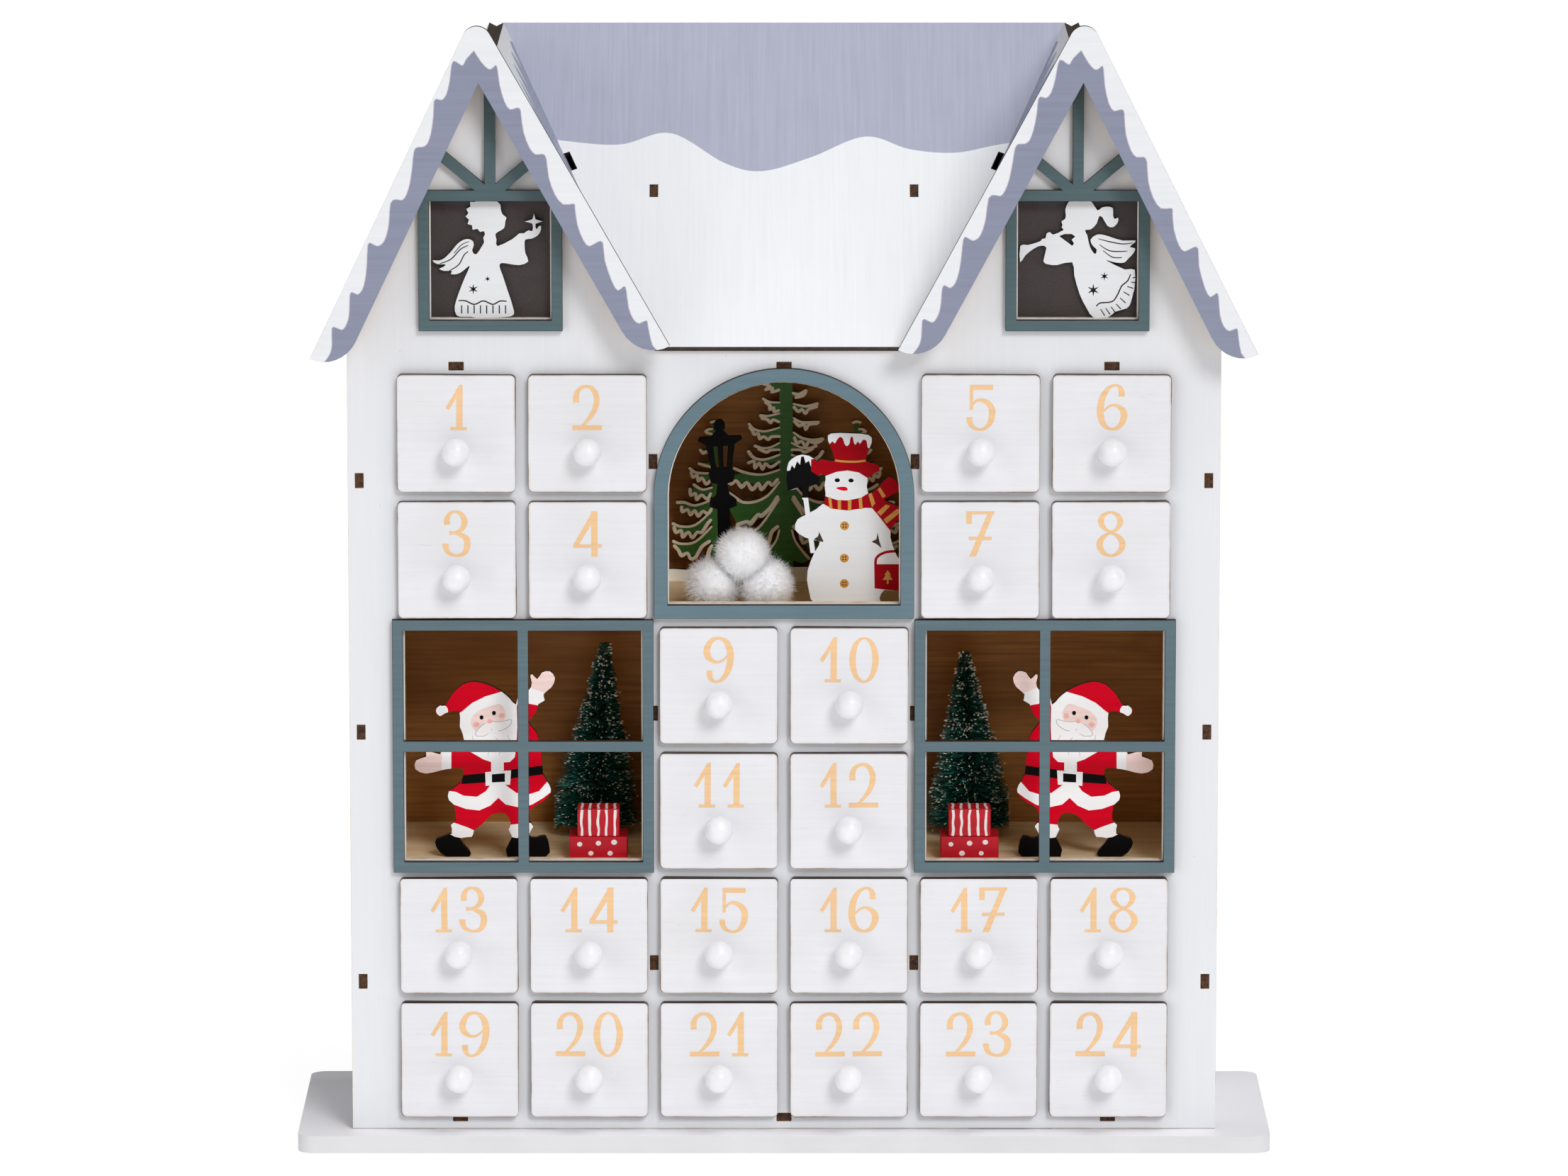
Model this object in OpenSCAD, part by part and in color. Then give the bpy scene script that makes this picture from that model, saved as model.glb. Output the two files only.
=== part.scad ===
// Wooden advent calendar: a twin-gabled house of slotted plywood sheets with 24 drawers.
// Millimetres. +X is the viewer's right, +Y the back, +Z up.
// The origin is the centre of the base's underside.

/* [Sheet] */
// Thickness of the laser-cut plywood
ply = 3; // [2.6:0.1:3.2]
// Clearance round a tab in its slot
slot_gap = 0.1; // [0.05:0.05:0.2]
// Glue line between separate pieces of one group
glue_gap = 0.05; // [0.03:0.01:0.1]
// Length of the small tabs that show through the walls
tab_w = 5.3; // [4:0.1:7]
// Length of the tabs that join a shelf to an inner wall
wall_tab_w = 20; // [10:1:30]

/* [Base] */
// Width of the base
base_w = 360; // [345:1:380]
// Depth of the base
base_d = 110; // [106:1:130]
// Thickness of the base
base_t = 6.5; // [5:0.5:9]
// Radius of the base's corners
base_corner_r = 6; // [3:1:10]

/* [House] */
// Width of the facade
house_w = 320; // [314:1:326]
// Depth inside, between the facade and the back panel
bay_depth = 80; // [76:1:82]
// From the facade's edge in to the side wall's outer face
wall_inset = 2.75; // [2:0.25:4]
// Gap between the base and the bottom shelf
under_gap = 3; // [2:0.5:5]
// Length of each foot tab under the facade and the back panel
foot_w = 31.4; // [20:0.2:40]
// Middle of the house to the middle of a foot tab
foot_x = 83.9; // [70:0.1:95]
// How far a foot tab reaches into the base
foot_depth = 4; // [3:0.5:4.5]

/* [Drawer grid] */
// Width of one column
col_pitch = 48; // [47:0.1:49]
// Height of one row
row_pitch = 46.9; // [46:0.1:49]
// Width and height of a drawer front
front_size = 43.4; // [42.6:0.1:43.8]
// Corner radius of a drawer front
front_r = 1.8; // [1:0.1:3]
// How far a front reaches below the shelf's top
front_drop = 0.8; // [0.4:0.1:1]
// Most that a front is turned by hand fitting, in degrees
front_skew = 0.5; // [0:0.1:0.8]
// Width of a drawer's hole in the facade
hole_w = 41; // [39.5:0.1:41.4]
// Height of a drawer's hole in the facade
hole_h = 40; // [39:0.1:41]
// Clearance beside a tray in its hole
tray_side_gap = 0.5; // [0.3:0.1:1]
// Running gap under a tray
tray_lift = 0.25; // [0.2:0.05:0.4]
// Height of a tray
tray_h = 38; // [30:0.5:38.5]
// Thickness of a tray's walls
tray_t = 2; // [1.5:0.1:3]
// Free space behind a closed tray
tray_back_gap = 7; // [3:0.5:15]

/* [Knob] */
// Diameter of the knob's ball
knob_d = 10.3; // [8:0.1:12]
// Diameter of the knob's neck
knob_neck_d = 6; // [5:0.1:7]
// Length of the knob's neck
knob_neck_l = 2; // [1:0.1:4]
// Diameter of the knob's peg
knob_peg_d = 4; // [3:0.1:4.5]
// Clearance round the knob's peg, on the diameter
knob_peg_gap = 0.2; // [0.1:0.05:0.3]
// From the middle of the front down to the knob
knob_drop = 6; // [3:0.1:9]

/* [Gables] */
// From the facade's edge in to the middle of a gable
gable_inset = 52.8; // [51:0.1:54]
// Slope of the gable roofs, in degrees
gable_pitch = 62.7; // [61.5:0.1:63]
// Attic floor's top to the underside of the gable's ridge
ridge_rise = 114.15; // [112:0.1:117]
// How far the gable roofs stand out in front of the facade
gable_overhang = 12; // [9:0.5:14]
// Length of a gable roof panel down the slope
gable_len = 121; // [118:0.5:123]

/* [Main roof] */
// Attic floor's top to the facade's edge between the gables
front_wall_rise = 6.6; // [5:0.1:9]
// From the ridge down to the back panel's top edge
back_wall_drop = 4.05; // [3:0.05:6]
// How far the eave reaches in front of the facade
eave_overhang = 1.8; // [1:0.1:3]
// From the facade's edge up the slope to the roof's tab slots
roof_tab_up = 64; // [50:1:80]
// Length of the notch beside each valley
notch_w = 8; // [5:0.5:12]
// Depth of the notch beside each valley
notch_depth = 1.5; // [1:0.1:2.5]
// From the facade's edge up the slope to the notch
notch_up = 76.7; // [60:0.1:90]

/* [Barge boards] */
// How far a board's edge stands above the roof panel
barge_lip = 4.8; // [3:0.1:6]
// Width of a board's arms
barge_w = 12.4; // [10:0.1:14]
// Length of a board's arms along the outer edge
barge_len = 141.6; // [138:0.1:146]
// Length of the rounded end of each arm
barge_end = 13; // [8:0.5:18]
// Radius of a board's peak
barge_peak_r = 5.3; // [3:0.1:7]
// Slope of a board's arms, in degrees
barge_pitch = 62.4; // [61.8:0.1:63.5]
// Outward lean of the left board, in degrees
barge_lean_left = 2.1; // [0:0.1:2.4]
// Outward lean of the right board, in degrees
barge_lean_right = 0.8; // [0:0.1:2.4]

/* [Windows] */
// Width of the bars of the square frames
frame_bar = 4; // [3:0.1:5]
// How far a square frame reaches below the middle of its shelf
frame_drop = 0.8; // [0:0.1:1.5]
// How far a window's hole lies inside its frame's opening
hole_lip = 0.5; // [0.2:0.1:1]
// Width of the arched frame's band
arch_bar = 5; // [4:0.1:6]
// Gap between the arched frame and the middle of what lies round it
arch_gap = 0.5; // [0.3:0.1:1]
// Width of an attic frame
attic_frame_w = 52.6; // [50:0.1:54]
// From the gable's ridge down to an attic frame's upper edge
attic_frame_drop = 50.55; // [49.5:0.05:52]
// Attic floor's top to an attic frame's lower edge
attic_frame_rise = 11.8; // [10:0.1:13]
// Width of an attic frame's bars
attic_bar = 4; // [3.5:0.1:5]
// How far the attic hole reaches above its frame's opening
attic_hole_rise = 1.5; // [1:0.1:2.5]
// Height of the post above an attic frame
king_h = 40.5; // [35:0.1:41]
// Angle of the fan's two struts from upright, in degrees
fan_angle = 50; // [45:1:53]
// Gap between the fan and the roof panels
fan_gap = 0.3; // [0.2:0.1:0.6]
// Thickness of the boards behind the angels
backing_t = 1.5; // [1:0.1:2.5]
// How far a backing board reaches beyond its hole
backing_lap = 2.5; // [2:0.1:3]

/* [Figures] */
// Height of a Santa
santa_h = 70; // [60:1:80]
// Window's middle outward to a Santa's middle
santa_offset = 12.9; // [11:0.1:14]
// Facade's inner face to a Santa's face
santa_setback = 12.5; // [10:0.5:16]
// Height of the snowman
snowman_h = 65; // [58:1:70]
// Middle of the house to the snowman
snowman_x = 22.3; // [21.5:0.1:23]
// Facade's inner face to the snowman's face
snowman_setback = 14; // [12:0.5:18]
// Height of the street lamp
lamp_h = 65.8; // [60:0.1:72]
// Middle of the house out to the street lamp's foot
lamp_x = 20.9; // [19:0.1:24]
// Outward lean of the street lamp, in degrees
lamp_lean = 2.8; // [0:0.1:4]
// Facade's inner face to the lamp's face
lamp_setback = 40; // [36:0.5:50]
// How much lower an angel is than its hole
angel_head_gap = 1.5; // [1:0.1:3]
// Thickness of an angel
angel_t = 2; // [1.5:0.1:2.4]
// Facade's inner face to the forest's face
forest_setback = 71.5; // [65:0.5:72]
// Height of the snow along the forest's foot
snow_bank_h = 5.5; // [4:0.1:8]
// Width of the tall tree's trunk
trunk_w = 4.8; // [4:0.1:6]

/* [Window scenes] */
// Window's middle inward to the brush tree
brush_offset = 27.3; // [25:0.1:28]
// Facade's inner face to the brush tree's stem
brush_setback = 59; // [56:0.5:60]
// Height of a brush tree
brush_h = 73; // [60:1:80]
// Longest reach of the bristles
brush_r = 17; // [14:0.1:18]
// Reach of the bristles at the tip
brush_tip_r = 2.6; // [1.5:0.1:4]
// Radius of the twisted wire stem
stem_r = 1.1; // [0.8:0.1:1.5]
// Bands of bristles on the stem
brush_bands = 25; // [20:1:28]
// Window's middle inward to the gifts
gift_offset = 27.3; // [24:0.1:29]
// Facade's inner face to the gifts' front
gift_setback = 6.4; // [4:0.1:9]
// Width of the lower gift
gift_w = 21.6; // [18:0.1:23]
// Depth of the lower gift
gift_d = 16.5; // [14:0.5:18]
// Height of the lower gift
gift_h = 8.8; // [7:0.1:11]
// Width of the upper gift
top_gift_w = 15.6; // [12:0.1:18]
// Depth of the upper gift
top_gift_d = 12; // [9:0.5:14]
// Height of the upper gift
top_gift_h = 10.4; // [8:0.1:12]
// Diameter of a snowball
ball_d = 17.6; // [15:0.1:18.6]
// Half the distance between the two lower snowballs
ball_spread = 9.8; // [9.4:0.1:10.6]
// Middle of the house out to the snowballs' middle
ball_x = 16.4; // [15:0.1:18]
// Facade's inner face to the snowballs' middle
ball_setback = 12.5; // [10:0.5:16]

/* [Hidden] */
COLUMNS = 6;
DRAWERS = 24;
// Shelves are counted from the bottom shelf, which is 0
WINDOW_SHELF = 2;
ARCH_SHELF = 4;
ATTIC_SHELF = 6;
ROOT_NODES = ["base", "facade", "back_panel", "side_wall_left", "side_wall_right", "inner_walls",
    "partition_left", "partition_right", "bottom_shelf", "long_shelves", "short_shelves",
    "short_dividers", "attic_floor", "roof_front", "gable_roof_left_outer",
    "gable_roof_left_inner", "gable_roof_right_inner", "gable_roof_right_outer",
    "bargeboard_left", "bargeboard_right", "window_frame_left", "window_frame_right",
    "arch_frame", "attic_frames", "attic_backings", "angel_left", "angel_right", "santa_left",
    "santa_right", "brush_tree_left", "brush_tree_right", "gifts", "snowman", "lamp_post",
    "snowballs", "forest"];
$fn = 48;

// Overrun of every cut
over = 1;
// Larger than the whole house, for cuts by a plane
reach = 2 * base_w;
// Turn between neighbouring patterns of hand fitting, in degrees
skew_turn = 77;
skew_start = 20;

// Levels of the grid
half_bay = bay_depth / 2;
house_d = bay_depth + 2 * ply;
front_y = -house_d / 2;
grid_x = COLUMNS / 2 * col_pitch;
grid_in = grid_x - ply / 2;
grid_out = grid_x + ply / 2;
wall_out = house_w / 2 - wall_inset;
wall_in = wall_out - ply;
function shelf_z(n) = base_t + under_gap + n * row_pitch;
function shelf_top(n) = shelf_z(n) + ply;
function shelf_mid(n) = shelf_z(n) + ply / 2;

// Where the drawers sit: column and row of each number, counted from the lower left
UPPER_CELLS = [[0, 5], [1, 5], [0, 4], [1, 4], [4, 5], [5, 5], [4, 4], [5, 4],
    [2, 3], [3, 3], [2, 2], [3, 2]];
function drawer_cell(k) = k <= len(UPPER_CELLS) ? UPPER_CELLS[k - 1]
    : [(k - 1) % COLUMNS, k <= DRAWERS - COLUMNS ? 1 : 0];
function drawer_name(k) = str("drawer_", k < 10 ? "0" : "", k);
function drawer_x(k) = (drawer_cell(k)[0] - (COLUMNS - 1) / 2) * col_pitch;
function drawer_floor(k) = shelf_top(drawer_cell(k)[1]);

// Rises of the tabs above the shelf below them, as shares of a row
side_tab_share = 0.064;
partition_tab_share = 0.215;
TAB_ROWS = [1, 3, 5];
LONG_SHELVES = [1, WINDOW_SHELF, ARCH_SHELF];
function side_tab_z(n) = shelf_top(n) + side_tab_share * row_pitch;
function partition_tab_z(n) = shelf_top(n) + partition_tab_share * row_pitch;
SHELF_TAB_COLUMNS = [-2.5, 0, 2.5];

// Roof lines
gable_x = house_w / 2 - gable_inset;
ridge_z = shelf_top(ATTIC_SHELF) + ridge_rise;
front_wall_z = shelf_top(ATTIC_SHELF) + front_wall_rise;
back_wall_z = ridge_z - back_wall_drop;
roof_pitch = atan2(back_wall_z - front_wall_z, house_d - ply);
roof_len = (house_d + eave_overhang) / cos(roof_pitch);
side_top_z = ridge_z - (wall_out - gable_x) * tan(gable_pitch);
eave_z = ridge_z - (house_w / 2 - gable_x) * tan(gable_pitch);
front_valley_x = gable_x - (ridge_z - front_wall_z) / tan(gable_pitch);
back_valley_x = gable_x - back_wall_drop / tan(gable_pitch);
barge_y = front_y - gable_overhang - ply;
barge_rise = barge_len * sin(barge_pitch);
barge_foot_z = ridge_z + (ply + barge_lip) / cos(gable_pitch) - barge_rise;

// Windows
window_x = 2 * col_pitch;
window_low = shelf_mid(WINDOW_SHELF) - frame_drop;
window_high = shelf_mid(ARCH_SHELF);
arch_low = shelf_mid(ARCH_SHELF) + arch_gap;
arch_high = shelf_mid(ATTIC_SHELF) - arch_gap;
arch_r = col_pitch - arch_gap / 2;
arch_spring = arch_high - arch_r;
attic_low = shelf_top(ATTIC_SHELF) + attic_frame_rise;
attic_frame_h = ridge_rise - attic_frame_rise - attic_frame_drop;
attic_open_low = attic_low + attic_bar;
attic_open_high = attic_low + attic_frame_h - attic_bar;
attic_open_r = attic_frame_w / 2 - attic_bar;
angel_h = attic_open_high + attic_hole_rise - attic_open_low - hole_lip - angel_head_gap;
window_floor = shelf_top(WINDOW_SHELF);
arch_floor = shelf_top(ARCH_SHELF);

// A closed smooth outline through hand-chosen points
SMOOTH_STEPS = 2;
function bend(a, b, c, d, t) = b + (c - a) * t / 2 + (a * 2 - b * 5 + c * 4 - d) * t * t / 2
    + (b * 3 - a - c * 3 + d) * t * t * t / 2;
function smooth(p) = [for (i = [0:len(p) - 1], s = [0:SMOOTH_STEPS - 1])
    bend(p[(i + len(p) - 1) % len(p)], p[i], p[(i + 1) % len(p)], p[(i + 2) % len(p)],
        s / SMOOTH_STEPS)];
// The same outline with nothing below the floor it stands on
function seated(p) = [for (q = p) [q[0], max(q[1], 0)]];
function rounded_polar(c, r, a0, a1, n) = [for (i = [0:n]) let (a = a0 + (a1 - a0) * i / n)
    c + r * [cos(a), sin(a)]];

// Stand flat outlines (x, z) upright as one sheet, its face at y and its thickness t behind it
module upright(y, t = ply) {
    union()
        for (i = [0:$children - 1])
            translate([0, y + t, 0]) rotate([90, 0, 0]) linear_extrude(t) children(i);
}

// A box from corner a to corner b
module block(a, b) {
    translate(a) cube(b - a);
}

// Coordinates of a gable panel: x down the slope, z out of the roof
module gable_side(gable, side) {
    translate([gable * gable_x, 0, ridge_z])
        if (side < 0) mirror([1, 0, 0]) rotate([0, gable_pitch, 0]) children();
        else rotate([0, gable_pitch, 0]) children();
}

// Coordinates of the main roof: y up the slope, z out of the roof
module roof_slope() {
    translate([0, front_y, front_wall_z]) rotate([roof_pitch, 0, 0]) children();
}

module above_roof() {
    roof_slope() block([-reach, -reach, 0], [reach, reach, reach]);
}

module below_roof() {
    roof_slope() block([-reach, -reach, -reach], [reach, reach, 0]);
}

// Outlines of the facade and the back panel
function house_outline(top_z, valley_x) = [[-house_w / 2, base_t], [house_w / 2, base_t],
    [house_w / 2, eave_z], [gable_x, ridge_z], [valley_x, top_z], [-valley_x, top_z],
    [-gable_x, ridge_z], [-house_w / 2, eave_z]];

// Slots through a front or back panel for the ends of the sheets behind it
module wall_slots(y) {
    for (s = [-1, 1], n = TAB_ROWS) {
        tab_slot(s * (wall_in + ply / 2), side_tab_z(n), y, true);
        tab_slot(s * col_pitch, partition_tab_z(n), y, true);
    }
    for (c = SHELF_TAB_COLUMNS, n = [0, ATTIC_SHELF])
        tab_slot(c * col_pitch, shelf_mid(n), y, false);
}

module tab_slot(x, z, y, tall) {
    w = (tall ? ply : tab_w) / 2 + slot_gap;
    h = (tall ? tab_w : ply) / 2 + slot_gap;
    block([x - w, y - over, z - h], [x + w, y + ply + over, z + h]);
}

module feet(y) {
    for (s = [-1, 1])
        block([s * foot_x - foot_w / 2, y, base_t - foot_depth], [s * foot_x + foot_w / 2, y + ply, base_t]);
}

module base() {
    color("white") difference() {
        union() {
            x = base_w / 2;
            y = base_d / 2;
            r = base_corner_r;
            block([-x + r, -y, 0], [x - r, y, base_t]);
            block([-x, -y + r, 0], [x, y - r, base_t]);
            for (sx = [-1, 1], sy = [-1, 1])
                translate([sx * (x - r), sy * (y - r), 0]) cylinder(r = r, h = base_t);
        }
        for (s = [-1, 1], y = [front_y, half_bay])
            block([s * foot_x - foot_w / 2 - slot_gap, y - slot_gap, base_t - foot_depth - slot_gap],
                [s * foot_x + foot_w / 2 + slot_gap, y + ply + slot_gap, base_t + over]);
    }
}

module facade() {
    y = front_y;
    cut = y - over;
    back = y + ply + over;
    color("white") difference() {
        union() {
            upright(y) polygon(house_outline(front_wall_z, front_valley_x));
            feet(y);
        }
        for (k = [1:DRAWERS])
            block([drawer_x(k) - hole_w / 2, cut, drawer_floor(k)],
                [drawer_x(k) + hole_w / 2, back, drawer_floor(k) + hole_h]);
        for (s = [-1, 1]) {
            r = window_x / 2 - frame_bar - hole_lip;
            block([s * window_x - r, cut, window_low + frame_bar + hole_lip],
                [s * window_x + r, back, window_high - frame_bar - hole_lip]);
            a = attic_open_r - hole_lip;
            block([s * gable_x - a, cut, attic_open_low + hole_lip],
                [s * gable_x + a, back, attic_open_high + attic_hole_rise]);
        }
        arch_shape(cut, arch_r - arch_bar - hole_lip, arch_low + arch_bar + hole_lip, back - cut);
        wall_slots(y);
    }
}

module back_panel() {
    color("peru") difference() {
        union() {
            upright(half_bay) polygon(house_outline(back_wall_z, back_valley_x));
            feet(half_bay);
        }
        wall_slots(half_bay);
    }
}

// Tabs of an upright sheet through the facade and the back panel
module upright_tabs(x, z) {
    for (y = [front_y, half_bay])
        block([x - ply / 2, y, z - tab_w / 2], [x + ply / 2, y + ply, z + tab_w / 2]);
}

module side_wall(side) {
    color("burlywood") union() {
        x = side * (wall_in + ply / 2);
        block([x - ply / 2, -half_bay, base_t], [x + ply / 2, half_bay, side_top_z]);
        for (n = TAB_ROWS)
            upright_tabs(x, side_tab_z(n));
    }
}
module side_wall_left() { side_wall(-1); }
module side_wall_right() { side_wall(1); }

// Front half of a crossing: the upright sheet is open from the front to the middle
module half_slot(x, z) {
    block([x - ply, -half_bay - over, z - slot_gap], [x + ply, slot_gap, z + ply + slot_gap]);
}

// Back half of a crossing: the shelf is open from the middle to the back
module shelf_slot(x, z) {
    block([x - ply / 2 - slot_gap, -slot_gap, z - over],
        [x + ply / 2 + slot_gap, half_bay + over, z + ply + over]);
}

module inner_walls() {
    color("burlywood")
        for (s = [-1, 1])
            difference() {
                x = s * grid_x;
                block([x - ply / 2, -half_bay, shelf_top(0)], [x + ply / 2, half_bay, shelf_z(ATTIC_SHELF)]);
                for (n = LONG_SHELVES)
                    block([x - ply, -wall_tab_w / 2 - slot_gap, shelf_z(n) - slot_gap],
                        [x + ply, wall_tab_w / 2 + slot_gap, shelf_top(n) + slot_gap]);
            }
}

module partition(side) {
    x = side * col_pitch;
    color("burlywood") union() {
        difference() {
            block([x - ply / 2, -half_bay, shelf_top(0)], [x + ply / 2, half_bay, ridge_z]);
            above_roof();
            for (n = concat(LONG_SHELVES, ATTIC_SHELF))
                half_slot(x, shelf_z(n));
        }
        for (n = TAB_ROWS)
            upright_tabs(x, partition_tab_z(n));
        roof_slope() block([x - ply / 2, roof_tab_up - tab_w / 2, -ply],
            [x + ply / 2, roof_tab_up + tab_w / 2, ply]);
    }
}
module partition_left() { partition(-1); }
module partition_right() { partition(1); }

module shelf_tabs(z) {
    for (c = SHELF_TAB_COLUMNS, y = [front_y, half_bay])
        block([c * col_pitch - tab_w / 2, y, z], [c * col_pitch + tab_w / 2, y + ply, z + ply]);
}

module bottom_shelf() {
    color("burlywood") union() {
        block([-wall_in, -half_bay, shelf_z(0)], [wall_in, half_bay, shelf_top(0)]);
        shelf_tabs(shelf_z(0));
    }
}

module attic_floor() {
    z = shelf_z(ATTIC_SHELF);
    color("burlywood") union() {
        difference() {
            block([-wall_in, -half_bay, z], [wall_in, half_bay, z + ply]);
            for (s = [-1, 1])
                shelf_slot(s * col_pitch, z);
        }
        shelf_tabs(z);
    }
}

module long_shelves() {
    color("burlywood")
        for (n = LONG_SHELVES)
            difference() {
                z = shelf_z(n);
                union() {
                    block([-grid_in, -half_bay, z], [grid_in, half_bay, z + ply]);
                    block([-grid_out, -wall_tab_w / 2, z], [grid_out, wall_tab_w / 2, z + ply]);
                }
                for (c = n == 1 ? [-2:2] : [-1, 1])
                    shelf_slot(c * col_pitch, z);
            }
}

module short_shelves() {
    color("burlywood") {
        difference() {
            r = col_pitch - ply / 2;
            block([-r, -half_bay, shelf_z(3)], [r, half_bay, shelf_top(3)]);
            shelf_slot(0, shelf_z(3));
        }
        for (s = [-1, 1])
            difference() {
                r = col_pitch - ply / 2;
                block([s * window_x - r, -half_bay, shelf_z(5)], [s * window_x + r, half_bay, shelf_top(5)]);
                shelf_slot(s * window_x, shelf_z(5));
            }
    }
}

module divider(x, low, high) {
    difference() {
        block([x - ply / 2, -half_bay, shelf_top(low)], [x + ply / 2, half_bay, shelf_z(high)]);
        half_slot(x, shelf_z(low + 1));
    }
}

module short_dividers() {
    color("burlywood") {
        for (c = [-2, 0, 2])
            divider(c * col_pitch, 0, WINDOW_SHELF);
        for (s = [-1, 1])
            divider(s * window_x, ARCH_SHELF, ATTIC_SHELF);
        divider(0, WINDOW_SHELF, ARCH_SHELF);
    }
}

module roof_front() {
    color("lightslategray") difference() {
        roof_slope() block([-gable_x, -eave_overhang / cos(roof_pitch), 0],
            [gable_x, roof_len - eave_overhang / cos(roof_pitch), ply]);
        for (s = [-1, 1]) {
            gable_side(s, -s) block([-reach, -reach, -reach], [reach, reach, ply]);
            x = ply / 2 + slot_gap;
            y = tab_w / 2 + slot_gap;
            roof_slope() translate([s * col_pitch, roof_tab_up, 0])
                block([-x, -y, -over], [x, y, ply + over]);
            valley_notch(s);
        }
    }
}

// The notch follows the valley line, square to the main roof
module valley_notch(side) {
    x_low = front_valley_x - ply / sin(gable_pitch);
    x_high = back_valley_x - ply / sin(gable_pitch);
    turn = atan2(x_high - x_low, (house_d - ply) / cos(roof_pitch));
    x = x_low + (x_high - x_low) * notch_up * cos(roof_pitch) / (house_d - ply);
    roof_slope() translate([side * x, notch_up, 0]) rotate([0, 0, -side * turn])
        block([side > 0 ? -notch_depth : -ply, -notch_w / 2, -over],
            [side > 0 ? ply : notch_depth, notch_w / 2, ply + over]);
}

module gable_panel(gable, side) {
    color("lightsteelblue") difference() {
        gable_side(gable, side)
            block([0, front_y - gable_overhang, 0], [gable_len, house_d / 2, ply]);
        if (side != gable) below_roof();
    }
}
module gable_roof_left_outer() { gable_panel(-1, -1); }
module gable_roof_left_inner() { gable_panel(-1, 1); }
module gable_roof_right_inner() { gable_panel(1, -1); }
module gable_roof_right_outer() { gable_panel(1, 1); }

// Right half of a barge board, from the peak down: outer edge, rounded end, inner edge
BARGE_END_STEPS = 8;
function barge_half() =
    let (down = [cos(barge_pitch), -sin(barge_pitch)], inward = [-sin(barge_pitch), -cos(barge_pitch)])
    concat(rounded_polar([0, -barge_peak_r / cos(barge_pitch)], barge_peak_r, 90, 90 - barge_pitch,
            BARGE_END_STEPS),
        [for (i = [0:BARGE_END_STEPS]) let (a = 90 * i / BARGE_END_STEPS)
            down * (barge_len - barge_end * (1 - cos(a))) + inward * barge_w * sin(a)],
        [[0, -barge_w / cos(barge_pitch)]]);

module bargeboard(x, turn) {
    half = barge_half();
    whole = concat(half, [for (i = [len(half) - 2:-1:1]) [-half[i][0], half[i][1]]]);
    color("slategray") upright(barge_y)
        translate([x, barge_foot_z]) rotate(turn)
            translate([0, barge_rise]) polygon(whole);
}
module bargeboard_left() { bargeboard(-gable_x, barge_lean_left); }
module bargeboard_right() { bargeboard(gable_x, -barge_lean_right); }

module window_frame(side) {
    y = front_y - ply;
    r = window_x / 2;
    mid = (window_low + window_high) / 2;
    color("cadetblue") translate([side * window_x, 0, 0]) difference() {
        block([-r, y, window_low], [r, y + ply, window_high]);
        for (sx = [-1, 1], sz = [-1, 1]) {
            x = [frame_bar / 2, r - frame_bar] * sx;
            z = [mid + sz * frame_bar / 2, sz < 0 ? window_low + frame_bar : window_high - frame_bar];
            block([min(x), y - over, min(z)], [max(x), y + ply + over, max(z)]);
        }
    }
}
module window_frame_left() { window_frame(-1); }
module window_frame_right() { window_frame(1); }

// A round-headed slab: straight up to the spring, with a half circle above it
module arch_shape(y, r, low, t) {
    block([-r, y, low], [r, y + t, arch_spring]);
    difference() {
        translate([0, y, arch_spring]) rotate([-90, 0, 0]) cylinder(r = r, h = t);
        block([-reach, y - over, -reach], [reach, y + t + over, low]);
    }
}

module arch_frame() {
    y = front_y - ply;
    color("cadetblue") difference() {
        arch_shape(y, arch_r, arch_low, ply);
        arch_shape(y - over, arch_r - arch_bar, arch_low + arch_bar, ply + 2 * over);
    }
}

// Distance from p along d to the line that runs fan_gap under the gable's roof panel
function under_roof(p, d) = let (n = [sin(gable_pitch), cos(gable_pitch)])
    (n * [0, ridge_z] - fan_gap - n * p) / (n * d);

module fan_strut(y, hub, side) {
    d = [sin(fan_angle), cos(fan_angle)];
    across = attic_bar / 2 * [cos(fan_angle), -sin(fan_angle)];
    a = hub + across;
    b = hub - across;
    upright(y) polygon([for (p = [a, a + d * under_roof(a, d), b + d * under_roof(b, d), b])
        [side * p[0], p[1]]]);
}

module attic_frames() {
    y = front_y - ply;
    r = attic_frame_w / 2;
    top = attic_low + attic_frame_h;
    shoulder_x = under_roof([0, top], [1, 0]);
    shoulder_z = attic_low + under_roof([r, attic_low], [0, 1]);
    color("cadetblue")
        for (s = [-1, 1])
            translate([s * gable_x, 0, 0]) union() {
                difference() {
                    upright(y) polygon([[-r, attic_low], [r, attic_low], [r, shoulder_z],
                        [shoulder_x, top], [-shoulder_x, top], [-r, shoulder_z]]);
                    block([-attic_open_r, y - over, attic_open_low],
                        [attic_open_r, y + ply + over, attic_open_high]);
                }
                block([-attic_bar / 2, y, top - attic_bar], [attic_bar / 2, y + ply, top + king_h]);
                for (side = [-1, 1])
                    fan_strut(y, [0, top - attic_bar / 2], side);
            }
}

module attic_backings() {
    r = attic_open_r - hole_lip + backing_lap;
    color("dimgray")
        for (s = [-1, 1])
            block([s * gable_x - r, -half_bay, attic_open_low + hole_lip - backing_lap],
                [s * gable_x + r, -half_bay + backing_t, attic_open_high + attic_hole_rise + backing_lap]);
}

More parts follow.
